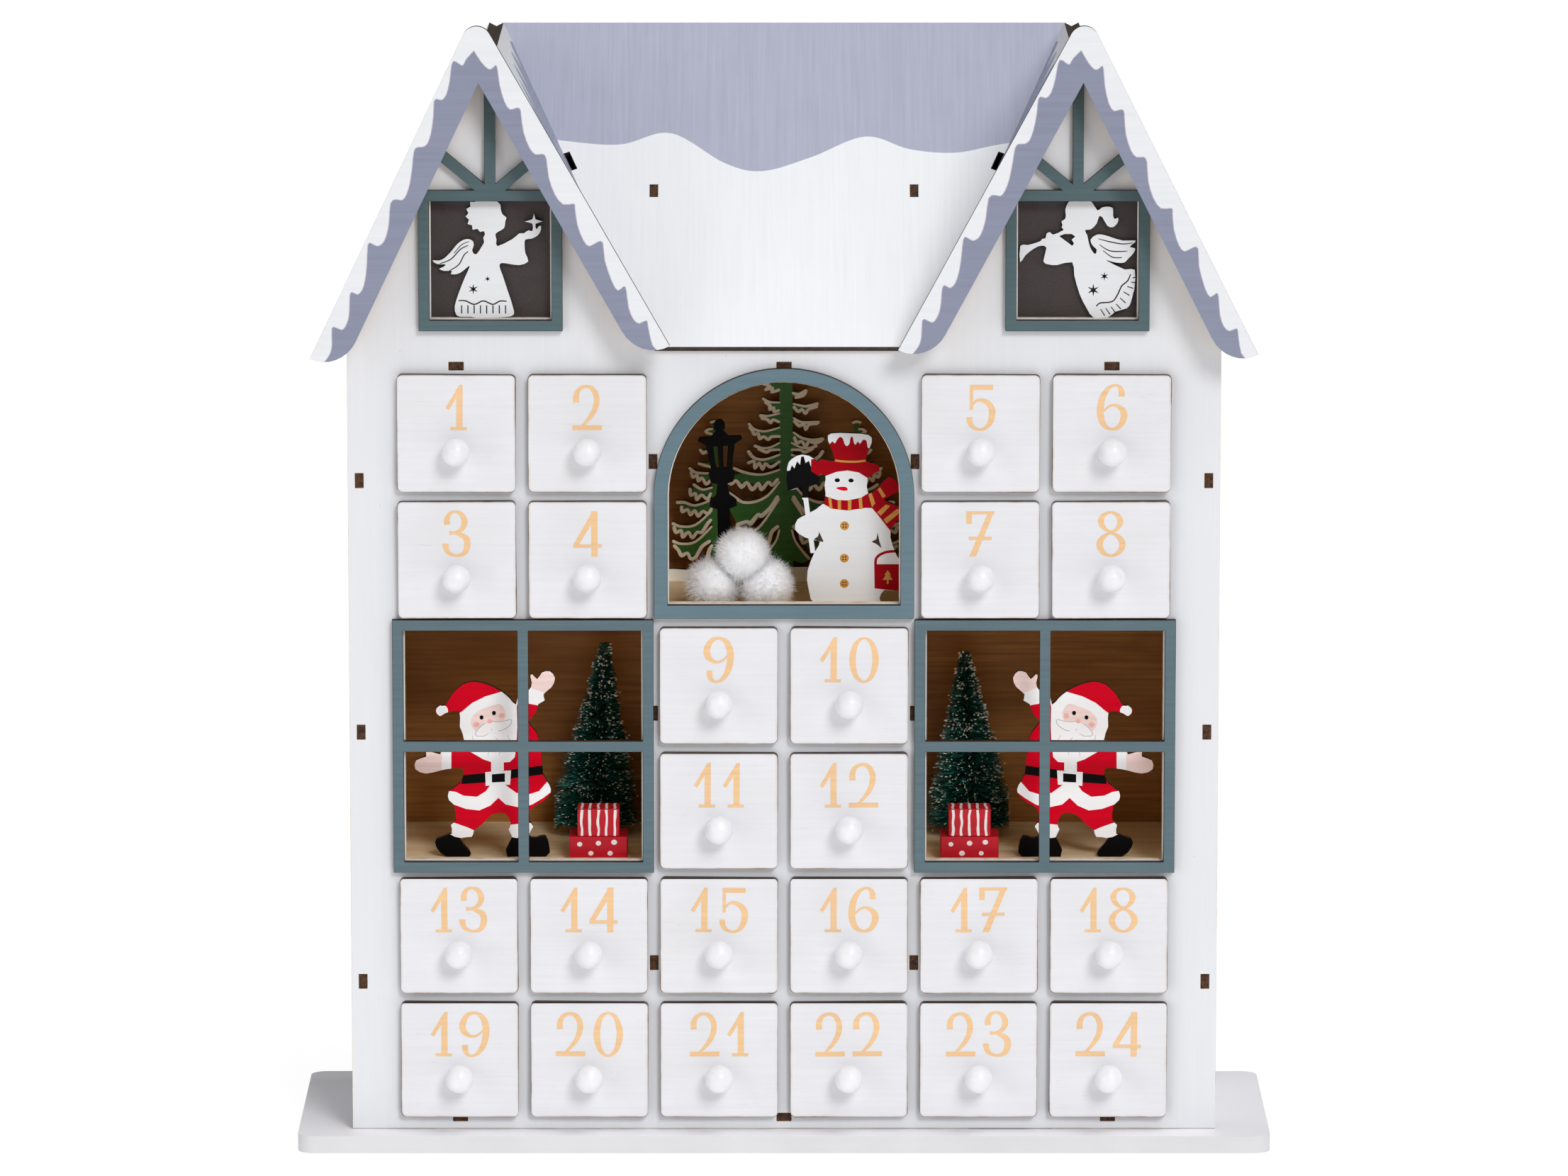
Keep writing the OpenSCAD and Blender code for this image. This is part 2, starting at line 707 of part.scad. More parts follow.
// Outlines of the figures, as shares of each figure's height from the middle of its foot
santa_shares = [[-0.232, 0], [-0.116, 0], [-0.112, 0.032], [-0.165, 0.098], [-0.098, 0.108],
    [-0.086, 0.142], [-0.039, 0.18], [0.01, 0.228], [0.079, 0.236], [0.109, 0.18], [0.097, 0.148],
    [0.116, 0.108], [0.102, 0.078], [0.09, 0], [0.29, 0], [0.312, 0.05], [0.29, 0.112],
    [0.242, 0.101], [0.2, 0.112], [0.228, 0.165], [0.208, 0.19], [0.214, 0.258], [0.28, 0.3],
    [0.32, 0.345], [0.314, 0.388], [0.28, 0.446], [0.274, 0.535], [0.256, 0.644], [0.234, 0.685],
    [0.204, 0.728], [0.242, 0.775], [0.258, 0.823], [0.291, 0.842], [0.285, 0.876], [0.329, 0.915],
    [0.346, 0.963], [0.319, 0.999], [0.278, 0.992], [0.253, 0.957], [0.226, 0.983], [0.216, 0.97],
    [0.224, 0.935], [0.208, 0.898], [0.156, 0.89], [0.14, 0.82], [0.102, 0.857], [0.058, 0.893],
    [-0.01, 0.926], [-0.077, 0.942], [-0.14, 0.928], [-0.195, 0.878], [-0.234, 0.815],
    [-0.262, 0.815], [-0.288, 0.786], [-0.262, 0.758], [-0.234, 0.774], [-0.16, 0.786],
    [-0.158, 0.702], [-0.136, 0.63], [-0.193, 0.578], [-0.256, 0.572], [-0.262, 0.552],
    [-0.31, 0.566], [-0.338, 0.564], [-0.337, 0.54], [-0.39, 0.52], [-0.394, 0.472],
    [-0.338, 0.449], [-0.262, 0.466], [-0.21, 0.475], [-0.138, 0.474], [-0.156, 0.4],
    [-0.218, 0.352], [-0.218, 0.306], [-0.188, 0.276], [-0.182, 0.2], [-0.208, 0.172],
    [-0.204, 0.124], [-0.284, 0.096], [-0.286, 0.052]];

module santa(side) {
    color("crimson") upright(-half_bay + santa_setback)
        translate([side * (window_x + santa_offset), window_floor]) mirror([side > 0 ? 1 : 0, 0])
            polygon(seated(smooth(santa_shares)) * santa_h);
}
module santa_left() { santa(-1); }
module santa_right() { santa(1); }

snowman_shares = [[-0.139, 0], [0.18, 0], [0.2, 0.05], [0.228, 0.098], [0.33, 0.1], [0.33, 0.243],
    [0.3, 0.29], [0.272, 0.36], [0.26, 0.445], [0.32, 0.52], [0.32, 0.57], [0.222, 0.616],
    [0.3, 0.66], [0.308, 0.7], [0.253, 0.75], [0.189, 0.685], [0.135, 0.65], [0.132, 0.742],
    [0.198, 0.783], [0.182, 0.822], [0.118, 0.841], [0.154, 0.945], [0.137, 0.988], [0.041, 0.997],
    [-0.075, 0.997], [-0.094, 0.958], [-0.052, 0.84], [-0.132, 0.848], [-0.171, 0.812],
    [-0.152, 0.766], [-0.108, 0.756], [-0.113, 0.7], [-0.114, 0.6], [-0.216, 0.532],
    [-0.267, 0.503], [-0.28, 0.445], [-0.222, 0.399], [-0.14, 0.375], [-0.166, 0.321],
    [-0.209, 0.211], [-0.203, 0.1]];
blade_shares = [[-0.322, 0.67], [-0.325, 0.8], [-0.3, 0.85], [-0.24, 0.876], [-0.17, 0.85],
    [-0.142, 0.78], [-0.145, 0.712], [-0.2, 0.692], [-0.21, 0.62], [-0.24, 0.62], [-0.244, 0.692]];
handle_shares = [[-0.236, 0.64], [-0.208, 0.64], [-0.165, 0.31], [-0.193, 0.31]];

module snowman() {
    color("white") translate([snowman_x, 0, arch_floor]) upright(-half_bay + snowman_setback) {
        polygon(seated(smooth(snowman_shares)) * snowman_h);
        polygon(smooth(blade_shares) * snowman_h);
        polygon(handle_shares * snowman_h);
    }
}

// Half width and height of the street lamp, from the foot up
lamp_shares = [[0.043, 0], [0.041, 0.312], [0.035, 0.492], [0.076, 0.505], [0.076, 0.537],
    [0.038, 0.569], [0.027, 0.634], [0.064, 0.647], [0.076, 0.692], [0.057, 0.711], [0.082, 0.859],
    [0.1, 0.872], [0.125, 0.884], [0.118, 0.904], [0.05, 0.904], [0.02, 0.935], [0.032, 0.955],
    [0.03, 0.98], [0.012, 1]];
lamp_pane_shares = [[0.012, 0.725], [0.03, 0.725], [0.042, 0.85], [0.016, 0.85]];

module lamp_post() {
    last = len(lamp_shares) - 1;
    whole = concat(lamp_shares, [for (i = [last:-1:0]) [-lamp_shares[i][0], lamp_shares[i][1]]]);
    lift = lamp_shares[0][0] * lamp_h * sin(lamp_lean);
    color("#202020") upright(-half_bay + lamp_setback)
        translate([-lamp_x, arch_floor + lift]) rotate(lamp_lean) difference() {
            polygon(whole * lamp_h);
            polygon(lamp_pane_shares * lamp_h);
            mirror([1, 0]) polygon(lamp_pane_shares * lamp_h);
        }
}

angel_left_shares = [[-0.294, 0.03], [-0.261, 0.008], [-0.163, 0.007], [-0.13, 0], [0.012, 0],
    [0.143, 0.007], [0.182, 0.019], [0.196, 0.057], [0.143, 0.232], [0.1, 0.363], [0.075, 0.438],
    [0.091, 0.464], [0.143, 0.46], [0.242, 0.447], [0.318, 0.478], [0.294, 0.549],
    [0.288, 0.615], [0.294, 0.664], [0.346, 0.672], [0.395, 0.697], [0.423, 0.737],
    [0.426, 0.783], [0.406, 0.774], [0.388, 0.753], [0.381, 0.799], [0.441, 0.819],
    [0.381, 0.836], [0.368, 0.891], [0.354, 0.836], [0.288, 0.817], [0.354, 0.801],
    [0.353, 0.737], [0.321, 0.744], [0.283, 0.718], [0.242, 0.716], [0.187, 0.67],
    [0.058, 0.608], [0.051, 0.664], [0.043, 0.711], [0.078, 0.737], [0.117, 0.764],
    [0.127, 0.823], [0.135, 0.853], [0.104, 0.877], [0.089, 0.921], [0.083, 0.965],
    [0.03, 1.004], [0.004, 0.998], [-0.03, 1.018], [-0.07, 1.002], [-0.104, 1.014],
    [-0.128, 0.984], [-0.17, 0.984], [-0.168, 0.944], [-0.202, 0.924], [-0.184, 0.89],
    [-0.208, 0.86], [-0.18, 0.834], [-0.192, 0.796], [-0.154, 0.786], [-0.15, 0.748],
    [-0.11, 0.756], [-0.088, 0.73], [-0.056, 0.736], [-0.047, 0.708],
    [-0.061, 0.678], [-0.054, 0.642], [-0.081, 0.593], [-0.117, 0.542], [-0.143, 0.547],
    [-0.154, 0.577], [-0.141, 0.615], [-0.15, 0.653], [-0.19, 0.67], [-0.24, 0.656],
    [-0.286, 0.62], [-0.329, 0.566], [-0.387, 0.508], [-0.437, 0.486], [-0.49, 0.489],
    [-0.464, 0.462], [-0.426, 0.453], [-0.38, 0.454], [-0.397, 0.433], [-0.434, 0.416],
    [-0.391, 0.398], [-0.327, 0.398], [-0.336, 0.372], [-0.294, 0.369], [-0.251, 0.385],
    [-0.212, 0.416], [-0.174, 0.44], [-0.218, 0.341], [-0.27, 0.21], [-0.305, 0.095]];
angel_right_shares = [[0.14, 0], [0.26, 0.002], [0.32, 0.05], [0.42, 0.08], [0.452, 0.13],
    [0.472, 0.21], [0.482, 0.25], [0.484, 0.408], [0.4, 0.41], [0.24, 0.488], [0.3, 0.474],
    [0.352, 0.466], [0.398, 0.47], [0.43, 0.504], [0.47, 0.546], [0.486, 0.59], [0.44, 0.602],
    [0.478, 0.636], [0.486, 0.658], [0.38, 0.656], [0.28, 0.686], [0.2, 0.708], [0.148, 0.7],
    [0.108, 0.66], [0.13, 0.61], [0.162, 0.58], [0.148, 0.54], [0.11, 0.59], [0.09, 0.66],
    [0.082, 0.7], [0.062, 0.745], [0.11, 0.75], [0.16, 0.8], [0.18, 0.86], [0.21, 0.852],
    [0.25, 0.782], [0.3, 0.77], [0.338, 0.81], [0.34, 0.85], [0.312, 0.84], [0.298, 0.87],
    [0.296, 0.93], [0.25, 0.945], [0.2, 0.935], [0.166, 0.912], [0.12, 0.98], [0.06, 1.012],
    [-0.02, 1.016], [-0.08, 0.98], [-0.104, 0.92], [-0.1, 0.87], [-0.108, 0.838], [-0.136, 0.82],
    [-0.128, 0.79], [-0.134, 0.765], [-0.12, 0.745], [-0.205, 0.706], [-0.232, 0.728],
    [-0.262, 0.714], [-0.27, 0.676], [-0.3, 0.67], [-0.318, 0.648], [-0.42, 0.618],
    [-0.482, 0.612], [-0.484, 0.47], [-0.44, 0.53], [-0.37, 0.586], [-0.31, 0.612],
    [-0.262, 0.595], [-0.288, 0.48], [-0.24, 0.452], [-0.17, 0.448], [-0.044, 0.472],
    [-0.026, 0.36], [0.02, 0.2], [0.08, 0.08]];
elbow_shares = [[-0.155, 0.694], [-0.046, 0.612], [-0.03, 0.63], [-0.05, 0.664], [-0.02, 0.69],
    [-0.05, 0.712], [-0.11, 0.712]];
STAR_POINTS = 6;
star_waist_share = 0.3;
function star(r) = [for (i = [0:2 * STAR_POINTS - 1])
    r * (i % 2 == 0 ? 1 : star_waist_share) * [sin(180 * i / STAR_POINTS), cos(180 * i / STAR_POINTS)]];
// Stars cut through an angel's dress: place and radius, as shares of the height
left_star_shares = [[-0.147, 0.243, 0.046], [-0.026, 0.33, 0.028]];
right_star_shares = [[0.135, 0.235, 0.056], [0.228, 0.352, 0.04]];
// Slots in the left angel's hem
HEM_SLOTS = 8;
hem_x_share = -0.066;
hem_low_share = 0.035;
hem_high_share = 0.105;
hem_pitch_share = 0.053;
hem_slot_share = 0.01;

module angel_outline(shares, stars) {
    difference() {
        polygon(seated(smooth(shares)) * angel_h);
        for (s = stars)
            translate([s[0], s[1]] * angel_h) polygon(star(s[2] * angel_h));
    }
}

module angel_plate(side) {
    color("white") upright(-half_bay - angel_t, angel_t)
        translate([side * gable_x, attic_open_low + hole_lip]) children();
}

module angel_left() {
    angel_plate(-1) difference() {
        angel_outline(angel_left_shares, left_star_shares);
        for (i = [0:HEM_SLOTS - 1])
            translate([(i - (HEM_SLOTS - 1) / 2) * hem_pitch_share + hem_x_share, hem_low_share] * angel_h)
                square([hem_slot_share, hem_high_share - hem_low_share] * angel_h);
    }
}

module angel_right() {
    angel_plate(1) difference() {
        angel_outline(angel_right_shares, right_star_shares);
        polygon(elbow_shares * angel_h);
    }
}

// One brush tree as a single closed surface: a wire stem whose upper facets are drawn out
// into bristles, each a three-sided strand
BRUSH_SIDES = 8;
brush_low_share = 0.05;
brush_droop_share = 0.16;
brush_ruffle_share = 0.08;
ruffle_turn = 137;
function brush_ring(i) = [for (j = [0:BRUSH_SIDES - 1]) let (a = 360 * (j + (i % 2) / 2) / BRUSH_SIDES)
    [stem_r * cos(a), stem_r * sin(a), i == 0 ? 0
        : brush_h * (brush_low_share + (1 - brush_low_share) * i / brush_bands)]];
function brush_tip(i, j) =
    let (a = 360 * (j + (i % 2 == 0 ? 0.5 : 1)) / BRUSH_SIDES,
        u = (i + 0.5) / brush_bands,
        ruffle = 1 + brush_ruffle_share * sin(ruffle_turn * (i * BRUSH_SIDES + j)),
        r = (brush_tip_r + (brush_r / (1 + brush_ruffle_share) - brush_tip_r) * (1 - u)) * ruffle,
        z = brush_h * (brush_low_share + (1 - brush_low_share) * u) - brush_droop_share * r)
    [r * cos(a), r * sin(a), z];
function brush_points() = concat([for (i = [0:brush_bands]) each brush_ring(i)],
    [for (i = [0:brush_bands - 1], j = [0:BRUSH_SIDES - 1]) brush_tip(i, j)]);
function ring_at(i, j) = i * BRUSH_SIDES + (j + BRUSH_SIDES) % BRUSH_SIDES;
function brush_faces() = concat(
    [for (j = [1:BRUSH_SIDES - 2]) [ring_at(0, 0), ring_at(0, j), ring_at(0, j + 1)]],
    [for (j = [1:BRUSH_SIDES - 2])
        [ring_at(brush_bands, 0), ring_at(brush_bands, j + 1), ring_at(brush_bands, j)]],
    [for (i = [0:brush_bands - 1], j = [0:BRUSH_SIDES - 1]) let (
            a = ring_at(i, j), b = ring_at(i, j + 1),
            c = ring_at(i + 1, i % 2 == 0 ? j : j + 1),
            d = i % 2 == 0 ? ring_at(i + 1, j + 1) : ring_at(i + 1, j),
            tip = ring_at(brush_bands + 1 + i, j))
        each [[b, a, tip], [c, b, tip], [a, c, tip], i % 2 == 0 ? [b, c, d] : [a, d, c]]]);

module brush_tree(side) {
    color("darkgreen")
        translate([side * (window_x - brush_offset), -half_bay + brush_setback, window_floor])
            polyhedron(points = brush_points(), faces = brush_faces());
}
module brush_tree_left() { brush_tree(-1); }
module brush_tree_right() { brush_tree(1); }

module gifts() {
    y = -half_bay + gift_setback;
    color("firebrick")
        for (s = [-1, 1])
            translate([s * (window_x - gift_offset), y, window_floor]) {
                block([-gift_w / 2, 0, 0], [gift_w / 2, gift_d, gift_h]);
                block([-top_gift_w / 2, 0, gift_h + glue_gap],
                    [top_gift_w / 2, top_gift_d, gift_h + glue_gap + top_gift_h]);
            }
}

module snowballs() {
    lift = sqrt(pow(ball_d + glue_gap, 2) - pow(ball_spread, 2));
    color("white") translate([-ball_x, -half_bay + ball_setback, arch_floor + ball_d / 2]) {
        for (s = [-1, 1])
            translate([s * ball_spread, 0, 0]) sphere(d = ball_d);
        translate([0, 0, lift]) sphere(d = ball_d);
    }
}

// A fir of the forest: a trunk with pairs of arms that curve up to their tips
ARM_STEPS = 6;
arm_rise_share = 0.34;
arm_thick_share = 0.22;
arm_fringe_share = 0.1;
function arm_line(l, lower) = [for (i = [0:ARM_STEPS]) let (t = i / ARM_STEPS)
    [t * l, l * (arm_rise_share * t * t
        - (lower ? (arm_thick_share + (i % 2) * arm_fringe_share) * (1 - t * t) : 0))]];
function arm_shape(l) = let (low = arm_line(l, true))
    concat(arm_line(l, false), [for (i = [ARM_STEPS - 1:-1:0]) low[i]]);

module fir(y, x, h, w, low, high, l_low, l_high, tiers) {
    translate([x, 0, arch_floor]) {
        block([-w / 2, y, 0], [w / 2, y + ply, h]);
        for (i = [0:tiers - 1], s = [-1, 1])
            let (t = i / (tiers - 1))
                translate([0, 0, low + (high - low) * t]) upright(y)
                    polygon([for (p = arm_shape(l_low + (l_high - l_low) * t)) [s * p[0], p[1]]]);
    }
}

// The forest's firs: trunk place as a share of the arch's half width, then height, lowest
// and highest tier, and longest and shortest arm as shares of the arch's height
fir_shares = [[0.013, 0.99, 0.25, 0.85, 0.2, 0.08], [-0.56, 0.67, 0.15, 0.58, 0.2, 0.06],
    [0.57, 0.67, 0.15, 0.58, 0.17, 0.05]];
FIR_TIERS = [8, 6, 6];
side_trunk_share = 0.7;

module forest() {
    y = -half_bay + forest_setback;
    bay_h = shelf_z(ATTIC_SHELF) - arch_floor;
    r = col_pitch - ply / 2 - slot_gap;
    color("darkolivegreen") union() {
        block([-r, y, arch_floor], [r, y + ply, arch_floor + snow_bank_h]);
        for (i = [0:len(fir_shares) - 1]) {
            f = fir_shares[i] * bay_h;
            fir(y, fir_shares[i][0] * arch_r, f[1], i == 0 ? trunk_w : trunk_w * side_trunk_share,
                f[2], f[3], f[4], f[5], FIR_TIERS[i]);
        }
    }
}

// A drawer front, knob and tray, for the number k
module drawer(k) {
    x = drawer_x(k);
    z = drawer_floor(k) - front_drop + front_size / 2;
    turn = front_skew * sin(skew_turn * k + skew_start);
    color("white") translate([x, front_y - ply, z]) {
        rotate([0, turn, 0]) drawer_front();
        knob();
    }
    color("burlywood") translate([x, front_y, drawer_floor(k) + tray_lift]) tray();
}

module drawer_front() {
    s = front_size / 2;
    r = front_r;
    difference() {
        union() {
            block([-s, 0, -s + r], [s, ply, s - r]);
            block([-s + r, 0, -s], [s - r, ply, s]);
            for (sx = [-1, 1], sz = [-1, 1])
                translate([sx * (s - r), 0, sz * (s - r)]) rotate([-90, 0, 0]) cylinder(r = r, h = ply);
        }
        translate([0, -over, -knob_drop]) rotate([-90, 0, 0])
            cylinder(d = knob_peg_d + knob_peg_gap, h = ply + 2 * over);
    }
}

module knob() {
    r = knob_d / 2;
    seat = sqrt(r * r - knob_neck_d * knob_neck_d / 4);
    translate([0, 0, -knob_drop]) union() {
        translate([0, -knob_neck_l - seat, 0]) sphere(d = knob_d);
        rotate([90, 0, 0]) translate([0, 0, glue_gap])
            cylinder(d = knob_neck_d, h = knob_neck_l - glue_gap + seat);
        translate([0, -knob_neck_l, 0]) rotate([-90, 0, 0])
            cylinder(d = knob_peg_d, h = knob_neck_l + ply - glue_gap);
    }
}

module tray() {
    w = hole_w / 2 - tray_side_gap;
    l = bay_depth + ply - tray_back_gap;
    g = glue_gap;
    t = tray_t;
    block([-w, g, 0], [w, l, t]);
    for (y = [g, l - t])
        block([-w, y, t + g], [w, y + t, tray_h]);
    for (x = [-w, w - t])
        block([x, 2 * g + t, t + g], [x + t, l - t - g, tray_h]);
}

base();
facade();
back_panel();
side_wall_left();
side_wall_right();
inner_walls();
partition_left();
partition_right();
bottom_shelf();
long_shelves();
short_shelves();
short_dividers();
attic_floor();
roof_front();
gable_roof_left_outer();
gable_roof_left_inner();
gable_roof_right_inner();
gable_roof_right_outer();
bargeboard_left();
bargeboard_right();
window_frame_left();
window_frame_right();
arch_frame();
attic_frames();
attic_backings();
angel_left();
angel_right();
santa_left();
santa_right();
brush_tree_left();
brush_tree_right();
gifts();
snowman();
lamp_post();
snowballs();
forest();
for (k = [1:DRAWERS])
    drawer(k);
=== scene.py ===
import bpy
import bmesh
import math
import random
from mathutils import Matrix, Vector, geometry, noise


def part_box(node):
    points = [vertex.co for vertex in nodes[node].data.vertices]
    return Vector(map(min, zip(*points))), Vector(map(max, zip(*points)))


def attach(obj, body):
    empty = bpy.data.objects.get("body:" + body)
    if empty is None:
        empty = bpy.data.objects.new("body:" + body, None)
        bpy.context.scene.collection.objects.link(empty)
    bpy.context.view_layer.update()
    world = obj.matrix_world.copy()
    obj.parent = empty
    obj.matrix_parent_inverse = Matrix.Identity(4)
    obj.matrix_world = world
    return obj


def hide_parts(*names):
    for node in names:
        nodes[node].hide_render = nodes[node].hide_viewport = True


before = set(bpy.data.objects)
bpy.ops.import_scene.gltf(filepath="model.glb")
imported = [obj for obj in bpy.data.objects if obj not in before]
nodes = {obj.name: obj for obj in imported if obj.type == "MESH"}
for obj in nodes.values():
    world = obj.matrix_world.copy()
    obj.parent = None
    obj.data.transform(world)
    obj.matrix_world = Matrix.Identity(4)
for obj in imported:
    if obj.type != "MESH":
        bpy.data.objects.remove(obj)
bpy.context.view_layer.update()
mm = 0.001
hair = 2e-6                                       # points nearer than this are one
paints = {}
sideways, forwards, upwards = (1, 0, 0), (0, 1, 0), (0, 0, 1)
front = (0, -1, 0)
print("frame loaded:", len(nodes), "nodes")


# small tools for materials

def screenColour(red, green, blue):
    # a colour as picked on a screen, 0 to 255, made linear for the shader
    return tuple([c / 255 / 12.92 if c < 11 else ((c / 255 + 0.055) / 1.055) ** 2.4
                  for c in (red, green, blue)] + [1.0])


def shaded(colour, share, lift=0.0):
    return tuple([min(c * share + lift, 1.0) for c in colour[:3]] + [1.0])


def newMaterial(name, key=None):
    # the material goes into paints, under its key or its own name
    material = bpy.data.materials.new(name)
    material.use_nodes = True
    paints[key or name] = material
    return material.node_tree, material.node_tree.nodes["Principled BSDF"]


def addNode(tree, kind, **settings):
    made = tree.nodes.new("ShaderNode" + kind)
    for key, value in settings.items():
        setattr(made, key, value)
    return made


def plug(tree, value, socket):
    if isinstance(value, bpy.types.NodeSocket):
        tree.links.new(value, socket)
    else:
        socket.default_value = value


def mixColour(tree, amount, first, second):
    made = addNode(tree, "Mix", data_type="RGBA")
    for value, socket in ((amount, 0), (first, 6), (second, 7)):
        plug(tree, value, made.inputs[socket])
    return made.outputs[2]


def mapRange(tree, value, *span):
    # span: from low, from high, and then to low, to high where these aren't 0 and 1
    made = addNode(tree, "MapRange")
    plug(tree, value, made.inputs[0])
    for socket, number in zip(made.inputs[1:5], span):
        socket.default_value = number
    return made.outputs[0]


def fade(tree, pattern, first, second, *span):
    # from the first colour to the second where the pattern rises through the span
    return mixColour(tree, mapRange(tree, pattern, *span), first, second)


def maths(tree, operation, *values):
    made = addNode(tree, "Math", operation=operation)
    for value, socket in zip(values, made.inputs):
        plug(tree, value, socket)
    return made.outputs[0]


def onObject(tree, node, socket):
    # feeds a node with the places on the object
    tree.links.new(addNode(tree, "TexCoord").outputs["Object"], node.inputs[socket])
    return node


def streaks(tree, scale, detail=3.0, distortion=0.0):
    # noise stretched along the grain; the scale is in waves for each metre, one for all or along x, y and z
    mapping = onObject(tree, addNode(tree, "Mapping"), "Vector")
    mapping.inputs["Scale"].default_value = scale if isinstance(scale, tuple) else (scale,) * 3
    pattern = addNode(tree, "TexNoise")
    for socket, number in (("Scale", 1.0), ("Detail", detail), ("Roughness", 0.6), ("Distortion", distortion)):
        pattern.inputs[socket].default_value = number
    tree.links.new(mapping.outputs["Vector"], pattern.inputs["Vector"])
    return pattern.outputs["Fac"]


def speckled(tree, paint, spacing, size, strength):
    # small toasted dots, one in each cell
    cells = onObject(tree, addNode(tree, "TexVoronoi"), "Vector")
    cells.inputs["Scale"].default_value = 1 / spacing
    dots = mapRange(tree, cells.outputs["Distance"], size, size * 0.5)
    return mixColour(tree, maths(tree, "MULTIPLY", dots, strength), paint, woodLook["toasted"])


def facing(tree, direction, low=0.75, high=0.9, bothWays=False):
    # 1 where the sheet's own side faces that way; the house is never turned, so world and sheet agree
    dot = addNode(tree, "VectorMath", operation="DOT_PRODUCT")
    tree.links.new(addNode(tree, "NewGeometry").outputs["True Normal"], dot.inputs[0])
    dot.inputs[1].default_value = direction
    value = dot.outputs["Value"]
    return mapRange(tree, maths(tree, "ABSOLUTE", value) if bothWays else value, low, high)


def placeOn(tree, axis):
    # a point's place along one axis of its object, in metres
    return onObject(tree, addNode(tree, "SeparateXYZ"), 0).outputs[axis]


def finish(tree, shader, colour, roughness, heights=(), shine=None):
    # heights: (pattern, depth in metres), one on top of the other
    plug(tree, colour, shader.inputs["Base Color"])
    plug(tree, roughness, shader.inputs["Roughness"])
    if shine is not None:
        shader.inputs["Specular IOR Level"].default_value = shine
    normal = None
    for height, depth in heights:
        made = addNode(tree, "Bump")
        made.inputs["Strength"].default_value = 1.0
        made.inputs["Distance"].default_value = depth
        tree.links.new(height, made.inputs["Height"])
        if normal:
            tree.links.new(normal, made.inputs["Normal"])
        normal = made.outputs["Normal"]
    if normal:
        tree.links.new(normal, shader.inputs["Normal"])


# wood and paint

woodLook = {
    "light": screenColour(226, 203, 165), "dark": screenColour(190, 156, 108),
    "burnt": screenColour(52, 33, 24), "charred": screenColour(20, 13, 11), "toasted": screenColour(122, 82, 46),
}
bareWood = (woodLook["light"], woodLook["dark"])
grainScales = {"x": (22, 700, 700), "y": (700, 22, 700), "z": (700, 700, 22), "slope": (900, 26, 26)}
# pattern scale, where it fades, and the two colours of an edge that isn't burnt
cutLooks = {
    "cream": (200, 0.45, 0.75, screenColour(228, 216, 196), woodLook["dark"]),
    "toasted": (900, 0.4, 0.65, screenColour(84, 52, 28), screenColour(30, 17, 11)),
}


def woodColour(tree, grain, light, dark):
    # long fibres with slow rings behind them
    fibres = streaks(tree, grainScales[grain], detail=4.0)
    slow = tuple(s * 0.09 if s > 100 else s * 0.5 for s in grainScales[grain])
    colour = fade(tree, fibres, light, dark, 0.35, 0.7)
    return fade(tree, streaks(tree, slow, detail=2.0, distortion=1.2), colour, dark, 0.42, 0.62, 0.0, 0.55), fibres


def burntColour(tree):
    # the laser's cut: dark, with lighter layers of the ply
    colour = fade(tree, streaks(tree, 260), woodLook["charred"], woodLook["burnt"], 0.35, 0.7)
    return fade(tree, streaks(tree, 1500, detail=2.0), colour, woodLook["toasted"], 0.5, 0.75, 0.0, 0.5)


def paintedSheet(name, colour, painted, thick, grain="x", edge="burnt", streak=0.05, roughness=0.5,
                 bare=bareWood, speck=0.0, foot=None):
    # a sheet of ply: paint on the painted side, bare wood on the other, a laser-cut edge all round;
    # foot is the height where it meets the base, with a thin dark line of painted shade just above it for the gap
    # there
    tree, shader = newMaterial(name)
    fibres = streaks(tree, grainScales[grain], detail=4.0)
    clouds = streaks(tree, 35)
    darker = shaded(colour, 1 - streak)
    paint = fade(tree, fibres, shaded(colour, 1 + streak * 0.6), darker, 0.3, 0.75)
    paint = fade(tree, clouds, paint, darker, 0.35, 0.7, 0.0, 0.5)
    if speck:
        paint = speckled(tree, paint, 0.011, 0.02, speck)
    # painted shade: a dark line just above the foot, for the shadowed gap where the sheet meets the base
    if foot:
        footGapShade = mapRange(tree, placeOn(tree, 2), foot + 0.00042, foot + 0.00028)
        footGapShade = maths(tree, "MULTIPLY", footGapShade, mapRange(tree, clouds, 0.3, 0.6, 0.3, 0.8))
        paint = mixColour(tree, footGapShade, paint, screenColour(84, 62, 50))
    face = woodColour(tree, grain, *bare)[0]
    if painted:
        face = mixColour(tree, facing(tree, painted), face, paint)
    if edge in cutLooks:
        scale, low, high, first, second = cutLooks[edge]
        cut = fade(tree, streaks(tree, scale), first, second, low, high)
    else:
        cut = burntColour(tree)
    finish(tree, shader, mixColour(tree, facing(tree, thick, bothWays=True), cut, face),
           mapRange(tree, clouds, 0.3, 0.7, roughness - 0.06, roughness + 0.06),
           [(fibres, 0.000035), (streaks(tree, 1800, detail=2.0), 0.00002)], shine=0.28)


def printInk(name, colour, grain="x", streak=0.06, roughness=0.38, depth=0.00002, shine=0.3):
    # printed or painted colour on one flat face
    tree, shader = newMaterial(name)
    colour = screenColour(*colour)
    fibres = streaks(tree, grainScales[grain], detail=4.0)
    fine = streaks(tree, 2400, detail=1.0)
    lighter = shaded(colour, 1 + streak, streak * 0.004)
    ink = fade(tree, fibres, lighter, shaded(colour, 1 - 2 * streak), 0.3, 0.72)
    finish(tree, shader, fade(tree, streaks(tree, 60), ink, lighter, 0.35, 0.7, 0.0, 0.4),
           mapRange(tree, fine, 0.3, 0.7, roughness - 0.06, roughness + 0.08),
           [(fibres, depth), (fine, depth * 0.5)], shine=shine)


